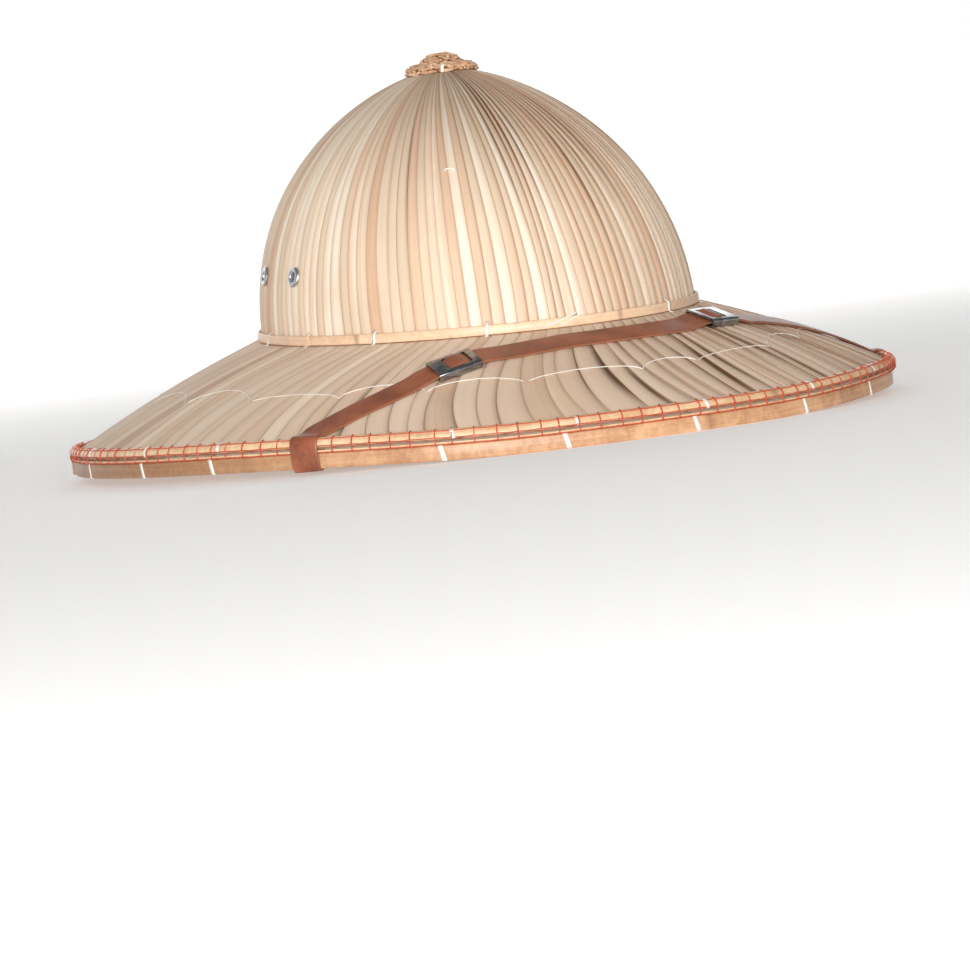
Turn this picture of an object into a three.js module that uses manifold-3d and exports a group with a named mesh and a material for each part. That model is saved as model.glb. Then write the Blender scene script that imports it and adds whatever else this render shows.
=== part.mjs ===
// A pith helmet of palm-leaf strips on split cane, with a bamboo rim hoop and a leather chin strap.
// Millimetres, +Z up, front towards -Y. The origin is the middle of the rim, on the surface it rests on.
import * as THREE from "three";
import Module from "manifold-3d";
import { mergeVertices } from "three/addons/utils/BufferGeometryUtils.js";

const wasm = await Module();
wasm.setup();

// Space between touching pieces
const gap = 0.3;

// Rim hoop, measured over its outer face
const rimHalfWidth = 176;
const rimHalfLength = 190;
const rimRise = 4;
const rimFlatAngle = 15;
const hoopHeight = 6.2;
const hoopThickness = 2.2;

// Canes at the leaf edge, which stand out beyond the hoop
const caneOverhang = 1;
const lowerCaneWidth = 2.4;
const lowerCaneHeight = 1;
const upperCaneWidth = 3.2;
const upperCaneHeight = 2.2;
const upperCaneSlope = 0.66;

// Crown: an oval dome, set forward on the rim and leaning forward
const crownHalfWidth = 91;
const crownHalfLength = 111;
const crownSetForward = 8;
const crownLean = 2.36;
const baseHeight = 50.5;
const domeHeight = 110;
const domeSetBack = 12;
const domeShoulder = 2.17;
const domeRoundness = 1.64;
const crownWall = 2.4;

// Brim: a leaf wall that falls a little faster towards the rim; its walls are measured straight down
const brimWall = 2;
const brimEdgeWall = 1.2;
const brimEdgeTaper = 0.06;
const brimDroop = 0.25;
const leafEdgeReach = 0.2;

// Leaf ribs: each strip rises to its outer edge, then steps down onto the next
const leafCount = 64;
const crownLeafStep = 0.6;
const brimLeafStep = 0.7;
const leafHighShare = 0.8;

// Cane at the foot of the crown, and the cane hoop under the brim
const bandHeight = 4;
const bandThickness = 1.3;
const bandLedge = 1;
const ringWidth = 4.5;
const ringHeight = 1.6;
const ringReach = 0.6;

// Straw button
const buttonRadius = 15.5;
const buttonRingWidth = 4;
const buttonRingHeight = 3.4;
const buttonHeight = 6.5;

// Vent eyelets, two on each side
const eyeletRadius = 4;
const eyeletHole = 1.9;
const eyeletBarrelWall = 0.5;
const eyeletFlange = 1;
const eyeletSpacing = 37;
const eyeletHeight = 28.5;

// Chin strap, its slides and its rivets
const strapWidth = 12;
const strapThickness = 1;
const strapBend = 0.8;
const strapEndHeight = 20;
const sliderLength = 19;
const sliderWall = 0.8;
const sliderPlay = 0.5;
const rivetHeight = 13;
const rivetHeadRadius = 3.2;
const rivetHeadThickness = 0.8;
const rivetShankRadius = 1.2;
const rivetDepth = 1.2;

// Facets
const ringStations = 64;
const buttonStations = 20;
const eyeletSides = 10;

const rad = THREE.MathUtils.degToRad;
const xAxis = new THREE.Vector3(1, 0, 0);
const yAxis = new THREE.Vector3(0, 1, 0);
const lean = rad(crownLean);

// Heights in the rim's stack, above the hoop's lower edge
const lowerCaneBottom = hoopHeight + gap;
const leafEdgeBottom = lowerCaneBottom + lowerCaneHeight + gap;
const leafEdgeTop = leafEdgeBottom + brimEdgeWall;
const bandReach = gap + bandThickness;
const seatReach = bandReach + bandLedge;

// Surfaces

// Lift of the rim: none at the front and back, where it rests, and most at the sides
function rimLift(angle) {
  return rimRise * THREE.MathUtils.smoothstep(Math.abs(Math.sin(angle)), Math.sin(rad(rimFlatAngle)), 1);
}

// A point at the rim, out from the hoop's outer face and up from its lower edge
function rimPoint(angle, out, up) {
  return new THREE.Vector3(
    (rimHalfWidth + out) * Math.sin(angle),
    -(rimHalfLength + out) * Math.cos(angle),
    rimLift(angle) + up,
  );
}

// Brings a point from the crown's own frame, with its foot at z 0, to its leaning place on the rim
function placeOnCrown(point) {
  point.applyAxisAngle(xAxis, lean);
  point.y -= crownSetForward;
  point.z += baseHeight;
  return point;
}

// A point of the dome at a share of its height, out from the leaf surface
function crownPoint(angle, share, out, up = 0) {
  const reach = (1 - share ** domeShoulder) ** (1 / domeRoundness);
  return placeOnCrown(new THREE.Vector3(
    (crownHalfWidth + out) * reach * Math.sin(angle),
    domeSetBack * share - (crownHalfLength + out) * reach * Math.cos(angle),
    (domeHeight + out) * share + up,
  ));
}

// A point above the top of the dome, at a radius round the button's axis
function domeTopPoint(angle, radius, up) {
  const oval = Math.hypot(Math.sin(angle) / crownHalfWidth, Math.cos(angle) / crownHalfLength);
  const share = (1 - (radius * oval) ** domeRoundness) ** (1 / domeShoulder);
  return placeOnCrown(new THREE.Vector3(
    radius * Math.sin(angle),
    domeSetBack - radius * Math.cos(angle),
    domeHeight * share + up,
  ));
}

// A point of the brim's upper side, from 0 at the seat to 1 at the rim, and down from it
function brimPoint(angle, reach, down = 0) {
  const inner = crownPoint(angle, 0, seatReach, -gap);
  const outer = rimPoint(angle, leafEdgeReach, leafEdgeTop);
  const fall = reach * (1 - brimDroop) + brimDroop * reach * reach;
  const point = inner.clone().lerp(outer, reach);
  point.z = inner.z + (outer.z - inner.z) * fall - down;
  return point;
}

// The brim's upward normal
function brimNormal(angle, reach) {
  const step = 0.01;
  const across = brimPoint(angle + step, reach).sub(brimPoint(angle - step, reach));
  const outward = brimPoint(angle, reach + step).sub(brimPoint(angle, reach - step));
  return outward.cross(across).normalize();
}

// The dome's outward normal
function crownNormal(angle, share) {
  const step = 0.01;
  const across = crownPoint(angle + step, share, 0).sub(crownPoint(angle - step, share, 0));
  const upward = crownPoint(angle, share + step, 0).sub(crownPoint(angle, share - step, 0));
  return across.cross(upward).normalize();
}

// The brim's wall, which thins to its edge over the last stretch
function brimWallAt(reach) {
  return THREE.MathUtils.lerp(brimWall, brimEdgeWall, THREE.MathUtils.smoothstep(reach, 1 - brimEdgeTaper, 1));
}

// Bodies lofted through rings of points

// Angles evenly round the hat
function evenAngles(count) {
  return Array.from({ length: count }, (_, i) => (i / count) * 2 * Math.PI);
}

// Angles of the leaf ribs, a low one and a high one for each strip
function leafAngles() {
  const pitch = (2 * Math.PI) / leafCount;
  return Array.from({ length: leafCount }, (_, i) => [i * pitch, (i + leafHighShare) * pitch]).flat();
}

// A ring of points at these angles; the maker gets each angle and how deep the leaf surface lies there
function ring(angles, makePoint) {
  const ribbed = angles.length === 2 * leafCount;
  return { angles, points: angles.map((angle, i) => makePoint(angle, ribbed && i % 2 === 0 ? 1 : 0)) };
}

// Triangles between two rings that may hold different numbers of points
function stitch(faces, a, b) {
  const turn = 2 * Math.PI;
  let i = 0;
  let j = 0;
  while (i < a.angles.length || j < b.angles.length) {
    const nextA = i + 1 < a.angles.length ? a.angles[i + 1] : turn;
    const nextB = j + 1 < b.angles.length ? b.angles[j + 1] : turn;
    const atA = a.start + (i % a.angles.length);
    const atB = b.start + (j % b.angles.length);
    if (j >= b.angles.length || (i < a.angles.length && nextA <= nextB)) {
      faces.push([atA, a.start + ((i + 1) % a.angles.length), atB]);
      i += 1;
    } else {
      faces.push([atA, b.start + ((j + 1) % b.angles.length), atB]);
      j += 1;
    }
  }
}

// Triangles from a ring to one point
function fan(faces, a, tip, flipped) {
  const count = a.angles.length;
  for (let i = 0; i < count; i += 1) {
    const edge = [a.start + i, a.start + ((i + 1) % count)];
    faces.push(flipped ? [edge[1], edge[0], tip] : [edge[0], edge[1], tip]);
  }
}

// A geometry from points and faces, turned to face outwards
function closedGeometry(points, faces) {
  const volume = faces.reduce((sum, [a, b, c]) => {
    return sum + points[a].dot(points[b].clone().cross(points[c]));
  }, 0);
  const geometry = new THREE.BufferGeometry();
  geometry.setFromPoints(points);
  geometry.setIndex(faces.flatMap(([a, b, c]) => (volume > 0 ? [a, b, c] : [a, c, b])));
  geometry.computeVertexNormals();
  return geometry;
}

// A body through rings: closed on itself, or ended by a tip point at each end
function loft(rings, tips = null) {
  const points = [];
  const faces = [];
  for (const one of rings) {
    one.start = points.length;
    points.push(...one.points);
  }
  for (let i = 0; i + 1 < rings.length; i += 1) {
    stitch(faces, rings[i], rings[i + 1]);
  }
  if (tips === null) {
    stitch(faces, rings[rings.length - 1], rings[0]);
  } else {
    points.push(...tips);
    fan(faces, rings[0], points.length - 2, true);
    fan(faces, rings[rings.length - 1], points.length - 1, false);
  }
  return closedGeometry(points, faces);
}

// A hoop whose section is a list of points, each placed by a maker
function hoopBody(section, makePoint, stations = ringStations) {
  const angles = evenAngles(stations);
  return loft(section.map((corner) => ring(angles, (angle) => makePoint(angle, corner))));
}

// Joins and cuts

function toSolid(geometry) {
  const bare = new THREE.BufferGeometry();
  bare.setAttribute("position", geometry.getAttribute("position").clone());
  if (geometry.index) {
    bare.setIndex(geometry.index.clone());
  }
  const merged = mergeVertices(bare);
  return new wasm.Manifold(new wasm.Mesh({
    numProp: 3,
    vertProperties: merged.getAttribute("position").array,
    triVerts: new Uint32Array(merged.index.array),
  }));
}

function toGeometry(solid) {
  const mesh = solid.getMesh();
  const geometry = new THREE.BufferGeometry();
  geometry.setAttribute("position", new THREE.BufferAttribute(new Float32Array(mesh.vertProperties), 3));
  geometry.setIndex(Array.from(mesh.triVerts));
  geometry.computeVertexNormals();
  return geometry;
}

function cut(geometry, tools) {
  return toGeometry(tools.reduce((solid, tool) => solid.subtract(toSolid(tool)), toSolid(geometry)));
}

// Turns a geometry whose axis is +Y so that the axis lies along a direction, and moves it to a place
function pointAlong(geometry, direction, place) {
  const turn = new THREE.Quaternion().setFromUnitVectors(yAxis, direction);
  return geometry.applyQuaternion(turn).translate(place.x, place.y, place.z);
}

// Crown

const footShare = 0.2;
const leafRows = [0, 0.05, 0.22, 0.42, 0.6, 0.76, 0.88, 0.97];
const liningRows = [0, footShare, 0.42, 0.6, 0.76, 0.88, 0.97];
const leafFadeShare = 0.9;

// A point inside the crown's foot, where the wall is straight up to its first lining row
function footPoint(angle, height, inside) {
  const low = crownPoint(angle, 0, -crownWall - inside);
  const high = crownPoint(angle, footShare, -crownWall - inside);
  return low.lerp(high, height / (footShare * domeHeight));
}

// The way that the inside of the crown's foot faces
function footInward(angle) {
  const up = footPoint(angle, 1, 0).sub(footPoint(angle, 0, 0));
  const across = footPoint(angle + 0.01, 0, 0).sub(footPoint(angle - 0.01, 0, 0));
  return up.cross(across).normalize();
}

function crownLeafDepth(share) {
  return share === 0 || share > leafFadeShare ? 0 : crownLeafStep;
}

function crownGeometry() {
  const outer = leafRows.map((share) => ring(leafAngles(), (angle, low) => {
    return crownPoint(angle, share, -low * crownLeafDepth(share));
  }));
  const inner = liningRows.map((share) => ring(evenAngles(leafCount), (angle) => {
    return crownPoint(angle, share, -crownWall);
  }));
  return loft([...outer.reverse(), ...inner], [crownPoint(0, 1, 0), crownPoint(0, 1, -crownWall)]);
}

// Brim, from the seat under the crown to the leaf edge and back below

const brimRows = [0, 0.12, 0.4, 0.7, 1 - brimEdgeTaper, 1];

function brimLeafDepth(reach) {
  return reach === 0 || reach > 1 - brimEdgeTaper / 2 ? 0 : brimLeafStep;
}

function brimGeometry() {
  const seatInside = (angle, up) => crownPoint(angle, 0, -crownWall, up);
  const seatTop = ring(evenAngles(leafCount), (angle) => seatInside(angle, -gap));
  const seatBottom = ring(evenAngles(leafCount), (angle) => seatInside(angle, -gap - brimWall));
  const top = brimRows.map((reach) => ring(leafAngles(), (angle, low) => {
    return brimPoint(angle, reach, low * brimLeafDepth(reach));
  }));
  const bottom = brimRows.map((reach) => ring(leafAngles(), (angle, low) => {
    return brimPoint(angle, reach, low * brimLeafDepth(reach) + brimWallAt(reach));
  }));
  return loft([seatTop, ...top, ...bottom.reverse(), seatBottom]);
}

// Hoops and canes: their sections are shares of each one's width, from outside in, and of its height

const squareSection = [
  { across: 0, rise: 0 },
  { across: 0, rise: 1 },
  { across: 1, rise: 1 },
  { across: 1, rise: 0 },
];

const splitCaneSection = [
  { across: 0, rise: 0 },
  { across: 0, rise: 0.55 },
  { across: 0.22, rise: 0.93 },
  { across: 0.6, rise: 1 },
  { across: 1, rise: 0.62 },
  { across: 1, rise: 0 },
];

function rimHoopGeometry() {
  return hoopBody(squareSection, (angle, { across, rise }) => {
    return rimPoint(angle, -across * hoopThickness, rise * hoopHeight);
  });
}

function lowerCaneGeometry() {
  return hoopBody(squareSection, (angle, { across, rise }) => {
    return rimPoint(angle, caneOverhang - across * lowerCaneWidth, lowerCaneBottom + rise * lowerCaneHeight);
  });
}

// The upper cane lies on the slope of the leaf edge
function upperCaneUp(out, rise) {
  return leafEdgeTop + gap + (leafEdgeReach - out) * upperCaneSlope + rise * upperCaneHeight;
}

function upperCaneGeometry() {
  return hoopBody(splitCaneSection, (angle, { across, rise }) => {
    const out = caneOverhang - across * upperCaneWidth;
    return rimPoint(angle, out, upperCaneUp(out, rise));
  });
}

function crownBandGeometry() {
  return hoopBody(squareSection, (angle, { across, rise }) => {
    return crownPoint(angle, rise * bandHeight / domeHeight, bandReach - across * bandThickness);
  });
}

// How far below the brim's upper side a piece lies that touches the lower side of its leaves
const underLeaves = brimWall + brimLeafStep + gap;

function brimRingGeometry() {
  return hoopBody(squareSection, (angle, { across, rise }) => {
    const run = brimPoint(angle, 0).setZ(0).distanceTo(brimPoint(angle, 1).setZ(0));
    return brimPoint(angle, ringReach - across * ringWidth / run, underLeaves + rise * ringHeight);
  });
}

// Straw button: a ring round a low boss

const roundSection = [
  { across: 0, rise: 0.35 },
  { across: 0, rise: 0.7 },
  { across: 0.3, rise: 1 },
  { across: 0.7, rise: 1 },
  { across: 1, rise: 0.7 },
  { across: 1, rise: 0.35 },
  { across: 0.7, rise: 0 },
  { across: 0.3, rise: 0 },
];

function buttonRingGeometry() {
  return hoopBody(roundSection, (angle, { across, rise }) => {
    return domeTopPoint(angle, buttonRadius - across * buttonRingWidth, gap + rise * buttonRingHeight);
  }, buttonStations);
}

// Rings of the boss, as shares of its radius and of its height over the dome
const bossTop = [
  { radius: 1, rise: 0.35 },
  { radius: 0.93, rise: 0.62 },
  { radius: 0.7, rise: 0.86 },
  { radius: 0.38, rise: 0.97 },
];

function buttonBossGeometry() {
  const angles = evenAngles(buttonStations);
  const bossRadius = buttonRadius - buttonRingWidth - gap;
  const rise = buttonHeight - gap;
  const foot = ring(angles, (angle) => domeTopPoint(angle, bossRadius, gap));
  const rings = bossTop.map((row) => ring(angles, (angle) => {
    return domeTopPoint(angle, row.radius * bossRadius, gap + row.rise * rise);
  }));
  return loft([foot, ...rings], [domeTopPoint(0, 0, gap), domeTopPoint(0, 0, buttonHeight)]);
}

// Eyelets: each side has a front and a rear one, evenly about the middle of the side

const eyeletShare = eyeletHeight / domeHeight;
const eyeletTurn = Math.asin(eyeletSpacing / 2 / crownHalfLength);
const barrelRadius = eyeletHole + eyeletBarrelWall;

const eyelets = [
  { name: "eyelet_right_front", angle: -Math.PI / 2 + eyeletTurn },
  { name: "eyelet_right_rear", angle: -Math.PI / 2 - eyeletTurn },
  { name: "eyelet_left_front", angle: Math.PI / 2 - eyeletTurn },
  { name: "eyelet_left_rear", angle: Math.PI / 2 + eyeletTurn },
];

function eyeletGeometry(angle) {
  const depth = crownWall + gap;
  const profile = [
    [eyeletHole, -depth],
    [eyeletHole, 0.8 * eyeletFlange],
    [(barrelRadius + eyeletRadius) / 2, gap + eyeletFlange],
    [eyeletRadius, gap],
    [barrelRadius, gap],
    [barrelRadius, -depth],
    [eyeletHole, -depth],
  ].map(([radius, height]) => new THREE.Vector2(radius, height)).reverse();
  const flange = new THREE.LatheGeometry(profile, eyeletSides);
  return closedFacing(flange, crownNormal(angle, eyeletShare), crownPoint(angle, eyeletShare, 0));
}

function eyeletHoleTool(angle) {
  const drill = new THREE.CylinderGeometry(barrelRadius + gap, barrelRadius + gap, 6 * crownWall, eyeletSides);
  return pointAlong(drill, crownNormal(angle, eyeletShare), crownPoint(angle, eyeletShare, 0));
}

// A lathe or cylinder with its seam merged, turned along a direction at a place
function closedFacing(geometry, direction, place) {
  return toGeometry(toSolid(pointAlong(geometry, direction, place)));
}

// Chin strap

// The strap's way over the brim from right to left: degrees round the hat from the front, share of the
// brim's slope, how it is carried, and how many straight pieces lead to the next row
const strapOverBrim = [
  { angle: -47.0, reach: 0.925, carried: "brim", steps: 1 },
  { angle: -46.5, reach: 0.89, carried: "brim", steps: 1 },
  { angle: -45.6, reach: 0.855, carried: "brim", steps: 3 },
  { angle: -42.5, reach: 0.729, carried: "brim", steps: 3 },
  { angle: -36.4, reach: 0.537, carried: "brim", steps: 1 },
  { angle: -33.4, reach: 0.462, carried: "slider", steps: 1 },
  { angle: -24.6, reach: 0.302, carried: "slider", steps: 1 },
  { angle: -19.5, reach: 0.247, carried: "brim", steps: 2 },
  { angle: -7.4, reach: 0.195, carried: "brim", steps: 3 },
  { angle: 6.3, reach: 0.19, carried: "brim", steps: 3 },
  { angle: 18.2, reach: 0.193, carried: "brim", steps: 1 },
  { angle: 23.5, reach: 0.196, carried: "brim", steps: 1 },
  { angle: 27.6, reach: 0.2, carried: "slider", steps: 1 },
  { angle: 38.6, reach: 0.238, carried: "slider", steps: 1 },
  { angle: 43.2, reach: 0.268, carried: "brim", steps: 1 },
  { angle: 47.7, reach: 0.307, carried: "brim", steps: 2 },
  { angle: 57.3, reach: 0.448, carried: "brim", steps: 3 },
  { angle: 66.1, reach: 0.652, carried: "brim", steps: 3 },
  { angle: 72.5, reach: 0.855, carried: "brim", steps: 1 },
  { angle: 73.4, reach: 0.89, carried: "brim", steps: 1 },
  { angle: 73.9, reach: 0.925, carried: "brim", steps: 1 },
];

// How high the strap's lower face lies over the brim, or over the slide's lower wall
const strapLifts = { brim: gap, slider: 2 * gap + sliderWall + sliderPlay };

// The strap's way round the rim: out from the hoop's outer face and up from its lower edge
function strapRimWrap() {
  const flange = caneOverhang + gap;
  const caneInside = caneOverhang - upperCaneWidth;
  const caneTop = upperCaneUp(caneInside + 0.3 * upperCaneWidth, 1) + gap;
  const hoopInside = -hoopThickness - 2 * gap;
  const underHoop = -2 * gap;
  return [
    [caneInside - 2 * strapBend, upperCaneUp(caneInside, 0.5) + gap],
    [caneInside, caneTop],
    [caneOverhang - 0.5 * upperCaneWidth, caneTop],
    [caneOverhang - 0.1 * upperCaneWidth, caneTop - strapBend],
    [flange, upperCaneUp(caneOverhang, 0.5)],
    [flange, lowerCaneBottom],
    [gap + strapBend / 2, hoopHeight / 2],
    [gap, 0],
    [gap - strapBend, underHoop],
    [-hoopThickness / 2, underHoop],
    [hoopInside + strapBend, underHoop],
    [hoopInside, 0],
    [hoopInside, hoopHeight / 2],
    [hoopInside, hoopHeight - strapBend],
    [hoopInside - strapBend, hoopHeight + strapBend],
    [hoopInside - 3 * strapBend, hoopHeight + 2 * strapBend],
  ];
}

// The strap's way under the brim, from the rim to the crown: share of the slope, and under what it lies
const strapUnderBrim = [
  { reach: 0.9, under: "leaves" },
  { reach: 0.72, under: "leaves" },
  { reach: 0.64, under: "ring" },
  { reach: 0.5, under: "ring" },
  { reach: 0.42, under: "leaves" },
  { reach: 0.2, under: "leaves" },
  { reach: 0.04, under: "leaves" },
];

const strapDrops = { leaves: underLeaves, ring: underLeaves + ringHeight + gap };

// A station of the strap: where its inner face lies, and the way that face looks away from the strap
function station(place, away) {
  return { place, away: away.clone().normalize() };
}

// Stations over the brim, with the strap's outer face up
function strapTopStations() {
  const stations = [];
  strapOverBrim.forEach((row, i) => {
    const next = strapOverBrim[i + 1] ?? row;
    for (let k = 0; k < row.steps; k += 1) {
      const share = k / row.steps;
      const angle = rad(THREE.MathUtils.lerp(row.angle, next.angle, share));
      const reach = THREE.MathUtils.lerp(row.reach, next.reach, share);
      const up = brimNormal(angle, reach);
      const lift = THREE.MathUtils.lerp(strapLifts[row.carried], strapLifts[next.carried], share);
      stations.push(station(brimPoint(angle, reach).addScaledVector(up, lift), up));
    }
  });
  return stations;
}

// Stations from the rim's top round the hoop, under the brim and up the crown's inner wall
function strapEndStations(degrees) {
  const angle = rad(degrees);
  const outward = rimPoint(angle, 1, 0).sub(rimPoint(angle, 0, 0)).normalize();
  const wrap = strapRimWrap();
  const stations = wrap.map(([out, up], i) => {
    const before = wrap[Math.max(i - 1, 0)];
    const after = wrap[Math.min(i + 1, wrap.length - 1)];
    const [along, climb] = [after[0] - before[0], after[1] - before[1]];
    const away = outward.clone().multiplyScalar(-climb).add(new THREE.Vector3(0, 0, along));
    return station(rimPoint(angle, out, up), away);
  });
  for (const { reach, under } of strapUnderBrim) {
    const down = brimNormal(angle, reach).negate();
    stations.push(station(brimPoint(angle, reach, strapDrops[under]), down));
  }
  const seatBottom = -gap - brimWall;
  const down = new THREE.Vector3(0, 0, -1);
  const inward = footInward(angle);
  stations.push(station(crownPoint(angle, 0, -strapBend, seatBottom - 2 * gap), down));
  stations.push(station(crownPoint(angle, 0, -crownWall - gap, seatBottom - gap), inward.clone().add(down)));
  for (const height of [0, rivetHeight, strapEndHeight]) {
    stations.push(station(footPoint(angle, height, 2 * gap), inward));
  }
  return stations;
}

// A flat strap through its stations
function strapBody(stations) {
  const corners = [[-1, 0], [1, 0], [1, 1], [-1, 1]];
  const points = [];
  const faces = [];
  stations.forEach(({ place, away }, i) => {
    const before = stations[Math.max(i - 1, 0)].place;
    const after = stations[Math.min(i + 1, stations.length - 1)].place;
    const side = after.clone().sub(before).cross(away).normalize();
    for (const [across, thick] of corners) {
      points.push(place.clone()
        .addScaledVector(side, across * strapWidth / 2)
        .addScaledVector(away, thick * strapThickness));
    }
  });
  for (let i = 0; i + 1 < stations.length; i += 1) {
    for (let c = 0; c < corners.length; c += 1) {
      const [a, b] = [4 * i + c, 4 * i + (c + 1) % 4];
      faces.push([a, b, b + 4], [a, b + 4, a + 4]);
    }
  }
  const last = 4 * (stations.length - 1);
  faces.push([0, 2, 1], [0, 3, 2], [last, last + 1, last + 2], [last, last + 2, last + 3]);
  return closedGeometry(points, faces);
}

const strapRightAngle = strapOverBrim[0].angle;
const strapLeftAngle = strapOverBrim[strapOverBrim.length - 1].angle;

function strapGeometry() {
  const right = strapEndStations(strapRightAngle).reverse();
  const left = strapEndStations(strapLeftAngle);
  const loop = strapBody([...right, ...strapTopStations(), ...left]);
  return cut(loop, [rivetHoleTool(strapRightAngle), rivetHoleTool(strapLeftAngle)]);
}

// Rivets through the strap's ends into the crown's inner wall

function rivetSeat(degrees) {
  const angle = rad(degrees);
  return { inward: footInward(angle), place: footPoint(angle, rivetHeight, 0) };
}

function rivetGeometry(degrees) {
  const { inward, place } = rivetSeat(degrees);
  const headFoot = strapThickness + 3 * gap;
  const headTop = headFoot + rivetHeadThickness;
  const profile = [
    [0, gap - rivetDepth],
    [rivetShankRadius, gap - rivetDepth],
    [rivetShankRadius, headFoot],
    [rivetHeadRadius, headFoot],
    [0.7 * rivetHeadRadius, headTop],
    [0, headTop],
  ].map(([radius, height]) => new THREE.Vector2(radius, height));
  return closedFacing(new THREE.LatheGeometry(profile, eyeletSides), inward, place);
}

function rivetHoleTool(degrees) {
  const { inward, place } = rivetSeat(degrees);
  const length = rivetDepth + 2 * strapThickness + gap;
  const drill = new THREE.CylinderGeometry(rivetShankRadius + gap, rivetShankRadius + gap, length, eyeletSides);
  drill.translate(0, length / 2 - rivetDepth, 0);
  return pointAlong(drill, inward, place);
}

// Slides: flat sleeves of sheet metal that the strap runs through

function sliderFrame(row, next) {
  const ends = [row, next].map(({ angle, reach }) => {
    const up = brimNormal(rad(angle), reach);
    return { up, place: brimPoint(rad(angle), reach).addScaledVector(up, strapLifts.slider) };
  });
  const along = ends[1].place.clone().sub(ends[0].place).normalize();
  const up = ends[0].up.clone().add(ends[1].up);
  up.addScaledVector(along, -up.dot(along)).normalize();
  const middle = ends[0].place.clone().add(ends[1].place).multiplyScalar(0.5);
  middle.addScaledVector(up, strapThickness / 2);
  return new THREE.Matrix4().makeBasis(along, up.clone().cross(along), up).setPosition(middle);
}

function sliderGeometry(index) {
  const rows = strapOverBrim.filter((row) => row.carried === "slider");
  const frame = sliderFrame(rows[2 * index], rows[2 * index + 1]);
  const slot = [strapWidth + 2 * sliderPlay, strapThickness + 2 * sliderPlay];
  const sleeve = new THREE.BoxGeometry(sliderLength, slot[0] + 2 * sliderWall, slot[1] + 2 * sliderWall);
  const inside = new THREE.BoxGeometry(2 * sliderLength, slot[0], slot[1]);
  return cut(sleeve.applyMatrix4(frame), [inside.applyMatrix4(frame)]);
}

// Finishes

const finishes = {
  leaf: { color: 0xe6d3b8, roughness: 0.62, metalness: 0 },
  brimLeaf: { color: 0xc3ab93, roughness: 0.68, metalness: 0 },
  cane: { color: 0xe3bb8c, roughness: 0.5, metalness: 0 },
  bamboo: { color: 0xd7a877, roughness: 0.5, metalness: 0 },
  straw: { color: 0xd9ab74, roughness: 0.72, metalness: 0 },
  leather: { color: 0x7d4a30, roughness: 0.48, metalness: 0 },
  metal: { color: 0x9b9a98, roughness: 0.32, metalness: 1 },
};

const helmet = new THREE.Group();

function addPiece(name, geometry, finish) {
  const mesh = new THREE.Mesh(geometry, new THREE.MeshStandardMaterial(finishes[finish]));
  mesh.name = name;
  helmet.add(mesh);
}

const crownDrills = [
  ...eyelets.map(({ angle }) => eyeletHoleTool(angle)),
  rivetHoleTool(strapRightAngle),
  rivetHoleTool(strapLeftAngle),
];

addPiece("crown", cut(crownGeometry(), crownDrills), "leaf");
addPiece("brim", brimGeometry(), "brimLeaf");
addPiece("crown_band", crownBandGeometry(), "cane");
addPiece("brim_ring", brimRingGeometry(), "cane");
addPiece("rim_hoop", rimHoopGeometry(), "bamboo");
addPiece("lower_edge_cane", lowerCaneGeometry(), "cane");
addPiece("upper_edge_cane", upperCaneGeometry(), "cane");
addPiece("button_ring", buttonRingGeometry(), "straw");
addPiece("button_boss", buttonBossGeometry(), "straw");
for (const { name, angle } of eyelets) {
  addPiece(name, eyeletGeometry(angle), "metal");
}
addPiece("chin_strap", strapGeometry(), "leather");
addPiece("strap_slider_right", sliderGeometry(0), "metal");
addPiece("strap_slider_left", sliderGeometry(1), "metal");
addPiece("strap_rivet_right", rivetGeometry(strapRightAngle), "metal");
addPiece("strap_rivet_left", rivetGeometry(strapLeftAngle), "metal");

export default helmet;
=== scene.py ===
"""Looks of a palm-leaf pith helmet on split cane, with a bamboo rim hoop and a leather chin strap."""
import contextlib
import math

import bpy
import bmesh
import numpy as np
from mathutils import Matrix, Vector


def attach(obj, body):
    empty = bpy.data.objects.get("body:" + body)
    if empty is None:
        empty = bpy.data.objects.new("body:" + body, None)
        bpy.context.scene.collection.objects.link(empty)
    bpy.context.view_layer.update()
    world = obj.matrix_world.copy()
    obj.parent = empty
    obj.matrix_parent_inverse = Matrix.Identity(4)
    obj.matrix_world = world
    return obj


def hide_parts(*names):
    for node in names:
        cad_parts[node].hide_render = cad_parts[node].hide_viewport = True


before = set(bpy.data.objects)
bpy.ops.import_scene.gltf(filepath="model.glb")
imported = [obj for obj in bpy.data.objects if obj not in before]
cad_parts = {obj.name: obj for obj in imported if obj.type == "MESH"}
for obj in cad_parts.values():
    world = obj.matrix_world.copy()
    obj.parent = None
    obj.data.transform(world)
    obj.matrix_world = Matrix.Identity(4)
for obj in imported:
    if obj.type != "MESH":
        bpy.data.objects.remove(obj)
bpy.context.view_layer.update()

MM = 0.001
rng = np.random.default_rng(7)
TURN = 2 * math.pi


# Camera: the photo's side angle, distance and lean, just above the floor

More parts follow.
